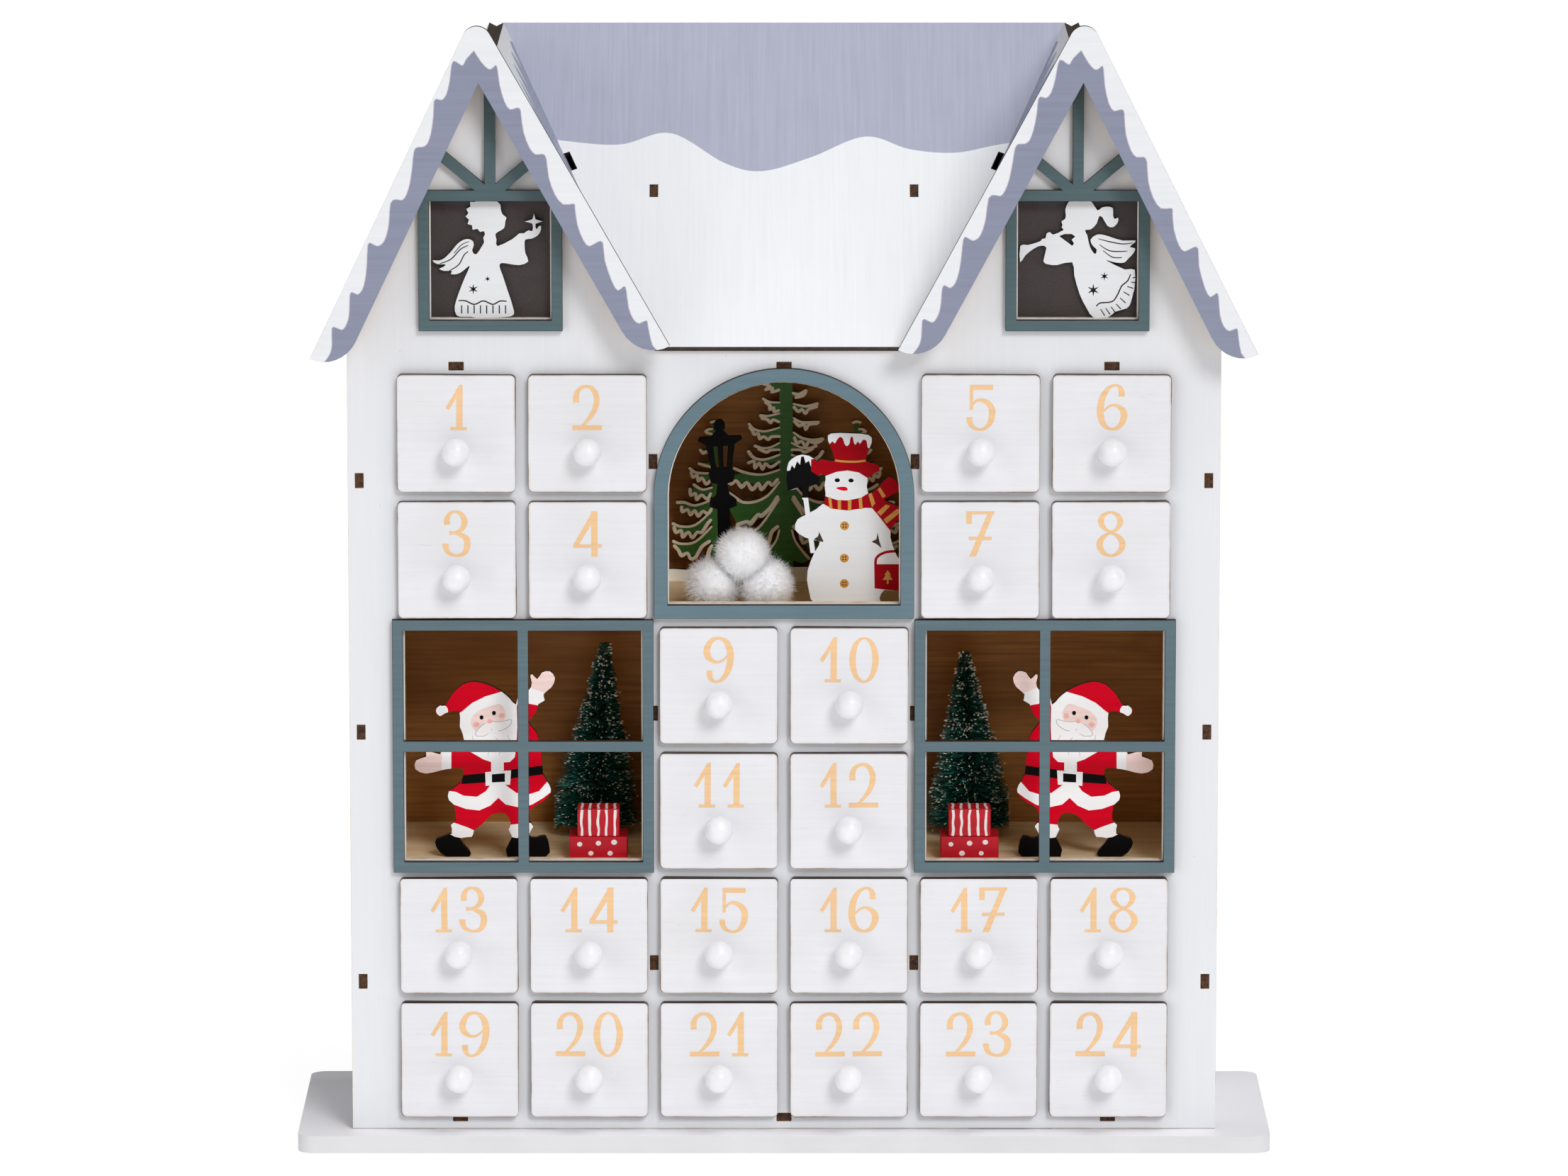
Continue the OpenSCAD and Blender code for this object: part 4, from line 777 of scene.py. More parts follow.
def printGable(side, which):
    look = gableLook
    name = "gable_roof_%s_%s" % (side, which)
    direction = slopeOf(name)
    v = direction.cross(Vector(forwards))
    ridge = (-1 if side == "left" else 1) * look["x"] * v.x + look["ridge"] * v.z
    sign = 1 if v.z > 0 else -1
    spikes = look[which]
    edge = []
    for (y0, down0), (y1, down1) in zip(spikes, spikes[1:]):     # curved sides, so that each spike thins to a point
        for t in (0, 0.25, 0.5, 0.75):
            bow = t * t if down1 > down0 else 1 - (1 - t) ** 2
            edge.append((y0 + (y1 - y0) * t, ridge - sign * (down0 + (down1 - down0) * bow)))
    edge.append((spikes[-1][0], ridge - sign * spikes[-1][1]))
    blue = edge + [(y, ridge - sign * look["deep"]) for y in (look["back"], look["front"])]
    printedPlate(name, "gable_sheet_%s_%s" % (side, which), "snowWhite", [("panelBlue", [blue])], direction=direction,
                 across=forwards)


printRoof()
for side in ("left", "right"):
    for which in ("inner", "outer"):
        printGable(side, which)
print("roofs printed")


# Santas

santaLook = {
    "drawn": (549.5, 1153, 12.2, 12.043),
    "x": -108.9,
    "floor": 106.3,
    "layers": [ ("whiteFigure", [[(395, 505), (420, 497), (470, 455), (530, 425), (605, 403), (640, 385),
        (680, 440), (672, 470), (674, 560), (670, 640), (662, 700), (640, 722), (612, 724), (612, 775), (555, 775),
        (555, 722), (520, 710), (455, 672), (428, 650), (395, 620)]]), ("whiteFigure", [disc(335, 490, 27)]),
        ("skin", [smoothLine([(466, 550), (470, 520), (500, 490), (545, 472), (590, 458), (612, 476), (622, 505),
        (612, 535), (575, 556), (530, 572), (488, 584)], 3, closed=True)]), ("cheek", [disc(490, 552, 13, 12),
        disc(604, 512, 13, 12)]), ("black", [disc(513, 520, 9, 10), disc(569, 500, 9, 10)]), ("greyLine",
        ribbon([(545, 545, 2.5), (515, 556, 2.5), (486, 590, 2.5), (492, 604, 2.5), (530, 602, 2.5),
        (560, 574, 2.5), (600, 580, 2.5), (640, 556, 2.5), (646, 530, 2.5), (600, 540, 2.5), (562, 538, 2.5)],
        closed=True)), ("whiteFigure", [smoothLine([(547, 545), (516, 557), (488, 588), (494, 602), (530, 600),
        (558, 572)], 4, closed=True), smoothLine([(556, 542), (598, 541), (640, 534), (636, 554), (600, 578),
        (560, 573)], 4, closed=True)]), ("cheek", [disc(550, 537, 11, 10)]), ("greyLine", ribbon([(520, 625, 2),
        (545, 660, 2), (540, 695, 2)]) + ribbon([(575, 610, 2), (600, 650, 2), (590, 690, 2)]) +
        ribbon([(630, 600, 2), (645, 640, 2), (640, 670, 2)]) + ribbon([(470, 600, 2), (480, 640, 2),
        (500, 665, 2)])), ("skin", [[(195, 640), (333, 640), (333, 800), (195, 800)], [(722, 290), (870, 290),
        (870, 425), (797, 418), (740, 400), (722, 398)]]), ("whiteFigure", [[(333, 655), (376, 660), (375, 765),
        (340, 775), (331, 760)], [(660, 392), (735, 386), (806, 412), (806, 446), (772, 466), (718, 456),
        (660, 448)]]), ("black", [[(425, 782), (530, 772), (645, 757), (800, 736), (806, 776), (645, 797),
        (530, 815), (420, 822)]]), ("whiteFigure", [[(528, 768), (645, 760), (640, 825), (530, 830)], [(345, 850),
        (395, 858), (430, 875), (490, 880), (530, 855), (550, 828), (617, 825), (668, 862), (720, 870), (770, 855),
        (805, 815), (850, 780), (860, 850), (828, 856), (790, 885), (740, 915), (690, 930), (620, 915), (587, 885),
        (550, 920), (500, 942), (440, 935), (385, 915), (345, 908)]]), ("black", [[(558, 778), (617, 773),
        (617, 812), (558, 815)]]), ("black", [[(285, 1040), (378, 1044), (424, 1066), (500, 1130), (500, 1175),
        (285, 1175)], [(610, 1050), (655, 1056), (735, 1048), (850, 1035), (850, 1175), (610, 1175)]]),
        ("whiteFigure", [smoothLine([(366, 998), (410, 1006), (480, 1034), (484, 1052), (472, 1074), (420, 1068),
        (366, 1050)], 2, closed=True), smoothLine([(626, 1012), (650, 1006), (748, 998), (756, 1010), (742, 1054),
        (690, 1066), (648, 1064), (628, 1042)], 2, closed=True)]), ],
}
printFigure("santa_left", "santa_print_left", "red", santaLook)
printFigure("santa_right", "santa_print_right", "red", santaLook, flip=-1)
print("Santas printed")


# snowman

snowmanLook = {
    "drawn": (935.6, 1270, 12.23, 12.12),
    "x": 22.3,
    "floor": 200.1,
    "layers": [ ("black", [[(655, 550), (845, 550), (845, 722), (778, 724), (774, 775), (742, 775), (742, 726),
        (655, 750)]]), ("whiteCutOut", [[(655, 550), (845, 550), (838, 640), (815, 640), (800, 622), (785, 636),
        (775, 608), (760, 618), (752, 588), (740, 590), (735, 626), (722, 610), (710, 642), (698, 628), (690, 652),
        (655, 656)]]), ("hatRed", [[(835, 465), (1080, 465), (1080, 530), (1045, 605), (1112, 612), (1112, 664),
        (1075, 675), (1040, 686), (1000, 661), (950, 652), (900, 658), (852, 676), (820, 678), (785, 655),
        (785, 600), (880, 600), (850, 520)]]), ("whiteCutOut", [smoothLine([(840, 462), (1075, 462), (1066, 520),
        (1054, 550), (1040, 548), (1035, 520), (1020, 512), (1005, 532), (995, 520), (985, 536), (977, 524),
        (972, 500), (962, 504), (958, 530), (946, 542), (935, 530), (928, 508), (914, 500), (900, 516), (892, 530),
        (880, 520), (868, 532), (856, 508)], 2, closed=True)]), ("gold", ribbon([(888, 605, 9), (930, 611, 9),
        (990, 612, 9), (1036, 606, 9)])), ("black", [disc(903, 696, 12, 9), disc(965, 697, 12, 9)]), ("red",
        [smoothLine([(898, 732), (915, 726), (940, 726), (950, 736), (944, 743), (922, 742)], 3, closed=True)]),
        ("hatRed", [[(838, 762), (855, 770), (900, 785), (950, 787), (1010, 775), (1042, 755), (1075, 735),
        (1130, 664), (1205, 700), (1196, 762), (1115, 784), (1216, 816), (1216, 862), (1146, 930), (1095, 864),
        (1060, 822), (1030, 821), (950, 833), (880, 825), (838, 802)]]), ("gold", [[(862, 774), (876, 778),
        (882, 826), (868, 822)], [(905, 785), (920, 787), (920, 831), (906, 829)], [(951, 787), (967, 786),
        (966, 833), (951, 833)], [(999, 777), (1014, 773), (1018, 825), (1003, 828)], [(1042, 756), (1056, 748),
        (1074, 800), (1060, 818)], [(1085, 738), (1096, 728), (1122, 768), (1108, 776)], [(1082, 842), (1122, 806),
        (1142, 812), (1100, 856)], [(1112, 874), (1172, 826), (1196, 834), (1126, 892)]]), ("gold",
        [disc(936, 902, 20), disc(935, 1049, 20), disc(935, 1164, 20)]), ("hatRed", [[(1070, 1076), (1200, 1076),
        (1200, 1200), (1072, 1186)]] + ribbon([(1076, 1080, 12), (1080, 1048, 12), (1110, 1026, 12),
        (1150, 1018, 12), (1200, 1020, 12)])), ("gold", [[(1131, 1103), (1146, 1126), (1139, 1126), (1154, 1147),
        (1135, 1147), (1135, 1166), (1127, 1166), (1127, 1147), (1108, 1147), (1123, 1126), (1116, 1126)]]),
        ("cutDark", [[(822, 930), (842, 975), (815, 972), (798, 962), (816, 950)], [(1085, 932), (1094, 975),
        (1104, 1004), (1082, 986), (1058, 974), (1080, 962)]] + [disc(x + dx, y + dy, 3.6, sides=10) for x, y in
        ((936, 902), (935, 1049), (935, 1164)) for dx in (-6, 6) for dy in (-6, 6)]), ],
}
printFigure("snowman", "snowman_print", "whiteCutOut", snowmanLook)
print("snowman printed")


# angels: cut lines on the plain figures

angelLook = {
    "left": {"drawn": (2046.93, 4848.66, 11.5702, 11.4912), "lines": [[(592, 1056, 4), (640, 1036, 5),
        (678, 996, 5), (712, 978, 4)], [(632, 1086, 4), (672, 1060, 5), (694, 1020, 5), (712, 1004, 4)],
        [(652, 1012, 3), (684, 976, 4), (716, 962, 3)], [(670, 1212, 5), (700, 1213, 6), (737, 1228, 6),
        (775, 1213, 6), (815, 1228, 6), (845, 1214, 6), (874, 1215, 5)]]},
    "right": {"drawn": (-443.07, 4848.66, 11.5702, 11.4912), "lines": [[(885, 950, 3), (930, 962, 5), (985, 972, 5),
        (1030, 968, 3)], [(890, 975, 3), (930, 1000, 5), (975, 1004, 5), (1008, 1002, 3)], [(905, 1000, 3),
        (945, 1028, 5), (985, 1030, 4)], [(878, 1236, 5), (895, 1222, 6), (945, 1216, 6), (968, 1186, 6),
        (985, 1150, 6), (1010, 1128, 6), (1022, 1100, 5)], [(896, 1248, 4), (914, 1276, 5)], [(918, 1244, 4),
        (936, 1270, 5)], [(940, 1238, 4), (958, 1262, 5)], [(962, 1226, 4), (982, 1248, 5)], [(978, 1200, 4),
        (1002, 1222, 5)], [(992, 1174, 4), (1018, 1190, 5)], [(1008, 1152, 4), (1034, 1160, 5)], [(1024, 1134, 4),
        (1044, 1136, 5)], [(1030, 1116, 4), (1046, 1112, 5)]]},
}
for side, look in angelLook.items():
    ox, oy, sx, sy = look["drawn"]
    lines = []
    for line in look["lines"]:
        lines += ribbon([((x - ox) / sx, (oy - y) / sy, w / sx) for x, y, w in line])
    printedPlate("angel_" + side, "angel_print_" + side, "whiteCutOut", [("cutDark", lines)])
print("angels cut")


# forest

forestLook = {
    "y": 31.5,
    "thick": 3.0,
    "drawn": (729.1, 4134.95, 15.0275, 14.877),
    "mirror": 1476,
    "bold": 1.4,
    "trunks": [[(703, -150), (777, -150), (779, 600), (780, 1160), (700, 1160), (702, 600)], [(326, 268),
        (352, 268), (356, 1160), (322, 1160)]],
    "tallBoughs": [[(703, -60), (664, -52), (650, -40), (664, -20), (703, -12)], [(703, 40), (660, 46), (640, 60),
        (660, 84), (703, 88)], [(703, 146), (660, 150), (634, 142), (640, 166), (668, 180), (690, 194), (703, 192)],
        [(703, 212), (640, 224), (612, 230), (650, 250), (703, 256)], [(703, 290), (645, 310), (556, 300),
        (560, 322), (640, 342), (703, 336)], [(703, 376), (650, 402), (590, 402), (630, 424), (703, 414)],
        [(703, 440), (640, 470), (552, 458), (545, 486), (640, 496), (703, 480)], [(703, 528), (600, 556),
        (500, 545), (410, 566), (412, 596), (520, 606), (600, 612), (660, 598), (703, 584)], [(703, 602),
        (660, 662), (580, 708), (500, 714), (420, 664), (424, 760), (462, 832), (520, 842), (600, 800), (650, 742),
        (690, 686), (703, 684)], [(703, 694), (650, 786), (590, 846), (540, 872), (460, 856), (430, 900),
        (470, 1010), (560, 1020), (640, 940), (690, 856), (703, 852)], [(703, 870), (682, 930), (640, 990),
        (600, 1030), (640, 1060), (703, 1040)]],
    "smallBoughs": [[(326, 300), (300, 305), (290, 316), (326, 324)], [(326, 420), (270, 415), (262, 436),
        (326, 446)], [(326, 488), (256, 492), (262, 508), (326, 516)], [(326, 548), (235, 546), (204, 528),
        (210, 560), (250, 580), (326, 594)], [(326, 628), (270, 640), (226, 618), (206, 650), (250, 676),
        (326, 668)], [(326, 698), (230, 732), (140, 716), (160, 756), (240, 776), (326, 752)], [(326, 762),
        (230, 842), (150, 850), (108, 836), (124, 872), (180, 890), (240, 884), (300, 838), (326, 812)],
        [(326, 852), (230, 936), (150, 948), (110, 936), (126, 980), (180, 1016), (236, 1012), (280, 950),
        (326, 938)]],
    "tallSnow": [[(664, -66, 9), (700, -60, 7)], [(655, -40, 12), (672, -22, 13), (700, -14, 10)], [(612, 45, 12),
        (650, 60, 14), (625, 78, 12), (665, 70, 12), (660, 92, 12), (700, 80, 12)], [(612, 130, 11), (650, 148, 9),
        (703, 150, 7)], [(625, 150, 12), (650, 168, 14), (648, 190, 12), (672, 180, 12), (672, 202, 12),
        (700, 195, 10)], [(598, 225, 14), (640, 226, 9), (703, 212, 7)], [(605, 240, 12), (632, 245, 13),
        (655, 264, 13), (668, 248, 12), (700, 260, 11)], [(533, 272, 12), (560, 300, 11), (620, 313, 9),
        (703, 292, 7)], [(537, 292, 13), (552, 310, 13), (562, 330, 13), (585, 325, 12), (592, 354, 14),
        (615, 343, 12), (640, 358, 14), (660, 343, 12), (703, 342, 11)], [(566, 395, 12), (610, 408, 10),
        (655, 402, 8), (703, 378, 7)], [(585, 412, 10), (630, 430, 13), (655, 418, 11), (703, 417, 9)],
        [(530, 428, 15), (560, 462, 13), (620, 472, 10), (703, 445, 8)], [(530, 490, 13), (560, 482, 12),
        (565, 520, 13), (590, 492, 12), (608, 527, 13), (625, 495, 12), (655, 514, 13), (703, 484, 11)],
        [(450, 522, 12), (520, 548, 11), (610, 556, 9), (703, 530, 8)], [(405, 580, 15), (430, 608, 17),
        (460, 592, 13), (490, 626, 17), (520, 602, 13), (550, 640, 17), (585, 606, 13), (602, 640, 16),
        (640, 600, 13), (662, 616, 14), (692, 585, 13)], [(415, 658, 13), (460, 690, 13), (500, 713, 12),
        (570, 709, 11), (640, 673, 10), (702, 600, 8)], [(692, 684, 15), (652, 744, 15), (602, 790, 17),
        (582, 782, 13), (542, 832, 19), (520, 822, 13), (468, 840, 17)], [(462, 856, 12), (540, 874, 11),
        (600, 842, 10), (702, 696, 7)], [(692, 852, 15), (660, 882, 15), (640, 942, 15), (600, 930, 13),
        (570, 1000, 16)], [(606, 1030, 12), (640, 992, 10), (684, 930, 9), (702, 872, 8)]],
    "smallSnow": [[(318, 262, 10), (340, 258, 12), (358, 264, 10)], [(288, 314, 12), (304, 302, 11), (324, 300, 9)],
        [(294, 322, 11), (322, 328, 10)], [(258, 418, 12), (275, 436, 13), (292, 428, 12), (322, 448, 10)],
        [(250, 495, 11), (285, 506, 12), (322, 514, 9)], [(200, 522, 13), (235, 546, 11), (322, 550, 8)],
        [(206, 545, 12), (216, 570, 14), (240, 562, 12), (246, 592, 14), (268, 576, 12), (290, 610, 14),
        (312, 592, 12)], [(222, 614, 13), (270, 641, 10), (322, 630, 8)], [(200, 640, 14), (204, 672, 14),
        (230, 664, 12), (238, 698, 14), (264, 672, 12), (296, 694, 14), (316, 664, 11)], [(130, 714, 14),
        (170, 714, 12), (230, 731, 10), (322, 700, 8)], [(152, 740, 13), (156, 766, 14), (186, 754, 12),
        (202, 782, 16), (226, 760, 12), (246, 790, 16), (272, 764, 12), (300, 778, 14), (320, 750, 11)],
        [(104, 834, 13), (150, 850, 10), (230, 841, 10), (320, 762, 8)], [(110, 856, 15), (120, 884, 14),
        (150, 872, 12), (158, 908, 16), (190, 882, 12), (212, 912, 16), (240, 882, 12), (266, 882, 14),
        (300, 832, 14), (316, 814, 12)], [(106, 934, 13), (150, 948, 10), (230, 936, 10), (320, 852, 8)],
        [(112, 960, 14), (134, 984, 14), (152, 1014, 16), (185, 1000, 12), (202, 1032, 14), (230, 1024, 14),
        (250, 990, 14), (270, 960, 14), (308, 934, 14)], [(296, 1032, 16), (308, 984, 16), (322, 958, 12)]],
    "tallRightSnow": [[(782, 98, 12), (812, 106, 13), (852, 84, 13), (836, 112, 12), (796, 122, 12)],
        [(784, 158, 8), (850, 172, 11), (915, 158, 14)], [(786, 178, 13), (810, 202, 13), (830, 190, 12),
        (850, 212, 13), (866, 190, 12), (912, 174, 12)], [(784, 238, 8), (830, 262, 11), (922, 262, 13)],
        [(788, 256, 13), (815, 282, 14), (840, 272, 12), (852, 302, 13), (870, 275, 12), (915, 270, 11)],
        [(784, 320, 8), (830, 350, 11), (890, 362, 11), (946, 356, 14)], [(788, 350, 13), (802, 378, 14),
        (830, 370, 12), (850, 398, 15), (870, 370, 12), (905, 380, 13), (940, 366, 11)]],
    "tallRightBoughs": [[(778, 92), (850, 84), (836, 112), (778, 120)], [(778, 152), (850, 170), (912, 162),
        (870, 186), (810, 194), (778, 186)], [(778, 232), (830, 260), (916, 262), (866, 276), (810, 276),
        (778, 266)], [(778, 316), (830, 348), (940, 358), (880, 372), (800, 374), (778, 366)]],
    "bank": [(20, 1158), (20, 1092), (110, 1090), (190, 1096), (250, 1086), (330, 1092), (470, 1082),
        (620, 1084), (760, 1080), (900, 1078), (1100, 1086), (1250, 1092), (1340, 1082), (1440, 1090), (1440, 1158)],
}


def growForest():
    look = forestLook
    flip = lambda lines: [[(look["mirror"] - p[0],) + tuple(p[1:]) for p in line] for line in lines]
    tallBoughs, tallSnow = look["tallBoughs"], look["tallSnow"]
    green = look["trunks"] + flip(look["trunks"][1:]) + look["smallBoughs"] + flip(look["smallBoughs"]) \
        + tallBoughs + look["tallRightBoughs"] + flip(tallBoughs[:1] + tallBoughs[5:])
    strokes = look["smallSnow"] + flip(look["smallSnow"]) + tallSnow + look["tallRightSnow"] \
        + flip(tallSnow[:2] + tallSnow[9:])
    snow = []
    for line in strokes:
        bold = [(x, y, w * look["bold"]) for x, y, w in line]
        snow += ribbon(bold) + [disc(x, y, w / 2, sides=10) for x, y, w in smoothLine(bold, 2)]
    layers = [("firGreen", green), ("firSnow", snow), ("bankSnow", [look["bank"]])]
    layers = [(key, [sketch(p, *look["drawn"]) for p in polygons]) for key, polygons in layers]
    piece = layeredSheet("forest_sheet", layers, look["y"], look["thick"])
    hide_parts("forest")


growForest()
print("forest cut")


def islands(nodeName):
    # lowest and highest corner of each solid of a node
    mesh = bmesh.new()
    mesh.from_mesh(nodes[nodeName].data)
    bmesh.ops.remove_doubles(mesh, verts=mesh.verts, dist=1e-6)
    seen, boxes = set(), []
    for start in mesh.verts:
        if start in seen:
            continue
        stack, group = [start], []
        seen.add(start)
        while stack:
            vert = stack.pop()
            group.append(vert.co.copy())
            for other in [e.other_vert(vert) for e in vert.link_edges]:
                if other not in seen:
                    seen.add(other)
                    stack.append(other)
        boxes.append([Vector([pick(c[i] for c in group) for i in range(3)]) for pick in (min, max)])
    mesh.free()
    return sorted(boxes, key=lambda b: (round(b[0].x, 4), b[0].z))


# gifts

giftLook = {"round": 0.45, "dot": 0.95, "stripe": 0.95, "paint": 0.16, "uneven": 0.00008, "lower": 0.108,
            "dots": [(-0.32, 0.16), (0.0, 0.20), (0.27, 0.24), (-0.13, -0.19), (0.20, -0.19)],
            "stripes": [0.11 + 0.195 * i for i in range(5)]}


def wrapGift(name, low, high, seed):
    look = giftLook
    pick = random.Random(seed)
    mesh = bmesh.new()
    bmesh.ops.create_cube(mesh, size=1.0)
    size, centre = high - low, (low + high) / 2
    for vert in mesh.verts:
        vert.co = Vector([vert.co[i] * size[i] + centre[i] for i in range(3)])
    bmesh.ops.bevel(mesh, geom=mesh.edges[:] + mesh.verts[:], offset=look["round"] * mm, segments=3, profile=0.5,
                    affect="EDGES")
    longEdges = [e for e in mesh.edges if e.calc_length() > 0.002]
    bmesh.ops.subdivide_edges(mesh, edges=longEdges, cuts=5, use_grid_fill=True)
    for vert in mesh.verts:                       # hand-painted wood is never quite flat, and stays inside its box
        dent = 0.5 + 0.5 * noise.noise(vert.co * 400 + Vector((seed, 0, 0)))
        vert.co -= (vert.co - centre).normalized() * look["uneven"] * dent
    piece = meshPiece(name, mesh, ["giftRed"])
    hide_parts("gifts")
    x0, x1, y, z0, z1 = low.x / mm, high.x / mm, low.y / mm, low.z / mm, high.z / mm
    w, h = x1 - x0, z1 - z0
    marks = []
    if low.z < look["lower"]:
        for dx, dz in look["dots"]:
            x, z = (x0 + x1) / 2 + dx * w, (z0 + z1) / 2 + dz * h * 1.1
            r = look["dot"] * (0.9 + 0.25 * pick.random())
            marks.append(disc(x, z, min(r, x1 - x - 0.2, x - x0 - 0.2), r * 0.92))
    else:
        for share in look["stripes"]:
            marks += ribbon([(x0 + w * share + pick.uniform(-0.25, 0.25), z0 + h * t,
                              look["stripe"] * pick.uniform(0.8, 1.15)) for t in (0.03, 0.25, 0.5, 0.75, 0.97)])
    layeredSheet(name + "_marks", [("giftWhite", marks)], y, look["paint"], keepBack=False)
    if low.z >= look["lower"]:                    # the stripes run on over the top
        mesh = bmesh.new()
        for share in look["stripes"]:
            for quad in ribbon([(x0 + w * share + pick.uniform(-0.25, 0.25), y + (high.y - low.y) / mm * t,
                                 look["stripe"]) for t in (0.04, 0.3, 0.6, 0.95)]):
                mesh.faces.new([mesh.verts.new((px * mm, py * mm, high.z)) for px, py in quad])
        bmesh.ops.remove_doubles(mesh, verts=mesh.verts, dist=1e-6)
        meshPiece(name + "_top_marks", mesh, ["giftWhite"])


for i, (low, high) in enumerate(islands("gifts")):
    wrapGift("gift_%d" % (i + 1), low, high, 11 + i)
print("gifts wrapped")


# snowballs

# root, reach, lump and curl are shares of the radius; thick, sink, forward and aside are in millimetres
pompomLook = {"strands": 9000, "core": 1.0, "root": 0.74, "reach": (1.04, 1.17), "stray": 0.06,
              "strayReach": (1.15, 1.26), "lump": (3.1, 0.07), "smallLump": (9, 0.04), "strandLump": 0.05,
              "thick": 0.08, "uneven": (0.6, 1.15), "curl": 0.09, "sink": 3.6, "forward": 1.5, "aside": 1.2}


def pileFinish():
    tree, shader = newMaterial("whitePile", "pile")
    shader.inputs["Sheen Weight"].default_value = 0.3
    shader.inputs["Subsurface Weight"].default_value = 0.25
    shader.inputs["Subsurface Radius"].default_value = (0.002, 0.002, 0.002)
    colour = fade(tree, streaks(tree, 300), screenColour(250, 250, 252), screenColour(241, 241, 244), 0.3, 0.7)
    finish(tree, shader, colour, 0.8, [(streaks(tree, 2500), 0.0001)])


def strandOn(mesh, points, widths, sides=3, material=0):
    # one tapered strand through the points
    rings = []
    for i, (p, w) in enumerate(zip(points, widths)):
        ahead = (points[min(i + 1, len(points) - 1)] - points[max(i - 1, 0)]).normalized()
        side = ahead.orthogonal().normalized()
        up = ahead.cross(side)
        rings.append([mesh.verts.new(p + (side * a + up * b) * w) for a, b in ringPoints(1, sides)])
    skin(mesh, rings, material)
    mesh.faces.new(rings[-1]).material_index = material


def onSphere(pick):
    z = pick.uniform(-1, 1)
    a = pick.uniform(0, 2 * math.pi)
    r = math.sqrt(1 - z * z)
    return Vector((r * math.cos(a), r * math.sin(a), z))


def scatter(pick):
    return Vector((pick.gauss(0, 1), pick.gauss(0, 1), pick.gauss(0, 1)))


def fewer(count):
    return count // 1


def pompom(name, centre, radius, floor, seed):
    pick = random.Random(seed)
    look = pompomLook
    shift = Vector((seed, 0, 0))
    (broad, swell), (small, ripple) = look["lump"], look["smallLump"]
    mesh = bmesh.new()
    bmesh.ops.create_icosphere(mesh, subdivisions=4, radius=1.0)
    for vert in mesh.verts:
        away = vert.co.normalized()
        lump = noise.noise(away * broad + shift) * swell + noise.noise(away * small + Vector((0, seed, 0))) * ripple
        vert.co = centre + away * radius * (look["core"] + lump)
        vert.co.z = max(vert.co.z, floor + 0.0001)
    for i in range(fewer(look["strands"])):
        away = onSphere(pick)
        lump = 1 + look["strandLump"] * noise.noise(away * broad + shift)
        length = radius * lump * pick.uniform(*look["reach"])
        if pick.random() < look["stray"]:
            length = radius * pick.uniform(*look["strayReach"])
        swirl = scatter(pick) * radius * look["curl"]
        points = [centre + away * radius * look["root"], centre + away * (radius * 0.72 + length) / 2 + swirl * 0.35,
                  centre + away * length + swirl]
        for p in points:
            p.z = max(p.z, floor + 0.00012)
        w = look["thick"] * mm * pick.uniform(*look["uneven"])
        strandOn(mesh, points, (w, w * 0.8, w * 0.25))
    piece = meshPiece(name, mesh, ["pile"])
    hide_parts("snowballs")


pileFinish()
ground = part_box("snowballs")[0].z
for i, (low, high) in enumerate(islands("snowballs")):
    centre = (low + high) / 2
    if low.z > ground + 0.001:                     # the upper one presses into the two below
        centre += Vector((pompomLook["aside"], -pompomLook["forward"], -pompomLook["sink"])) * mm
    pompom("snowball_%d" % (i + 1), centre, (high.x - low.x) / 2, ground, 31 + i)
print("snowballs fluffed")


# brush trees

bristleLooks = {
    "bristle": ("greenBristle", (2, 34, 31), (18, 88, 76), 0.38),
    "paleBristle": ("paleBristle", (24, 104, 92), (84, 176, 158), 0.34),
    "frost": ("frostedTip", (226, 224, 208), (252, 252, 244), 0.7),
    "wire": ("twistedWire", (90, 92, 92), (150, 152, 150), 0.35),
}
for key, (name, colour, tip, roughness) in bristleLooks.items():
    tree, shader = newMaterial(name, key)
    colour, tip = screenColour(*colour), screenColour(*tip)
    fine = streaks(tree, 3000, detail=1.0)
    mixed = fade(tree, streaks(tree, 500, detail=2.0), colour, tip, 0.3, 0.7)
    finish(tree, shader, fade(tree, fine, mixed, tip, 0.4, 0.8, 0.0, 0.4), roughness, [(fine, 0.00003)])

# foot and top are shares of the height; thick, reach, tip and shift are in millimetres; crowd: lower packs more
# bristles near the foot; short, droop, bend and pale are shares; wire and margin are in metres
treeLook = {
    "strands": 10500, "foot": 0.05, "top": 0.985, "crowd": 0.62, "reach": 17.6, "tip": 2.2, "taper": 1.05,
    "tierWave": 0.05, "tiers": 42, "lump": 0.10, "short": 0.30, "tilt": 0.30, "droop": 0.10, "bend": 0.06,
    "thick": 0.17, "uneven": (0.7, 1.1), "pale": 0.2, "margin": (0.0014, 0.0006, 0.0003),
    "wire": 0.0006, "wireThick": 0.0005, "wireTurn": 60, "wireTall": 0.97, "wireParts": 60,
    "frost": 2700, "frostPatch": 260, "flakeLong": (0.5, 1.5), "flakeWide": (0.16, 0.30),
    "left": {"lean": 0.07, "shift": -2.5, "tall": 1.0}, "right": {"lean": -0.04, "shift": 2.6, "tall": 0.955},
}


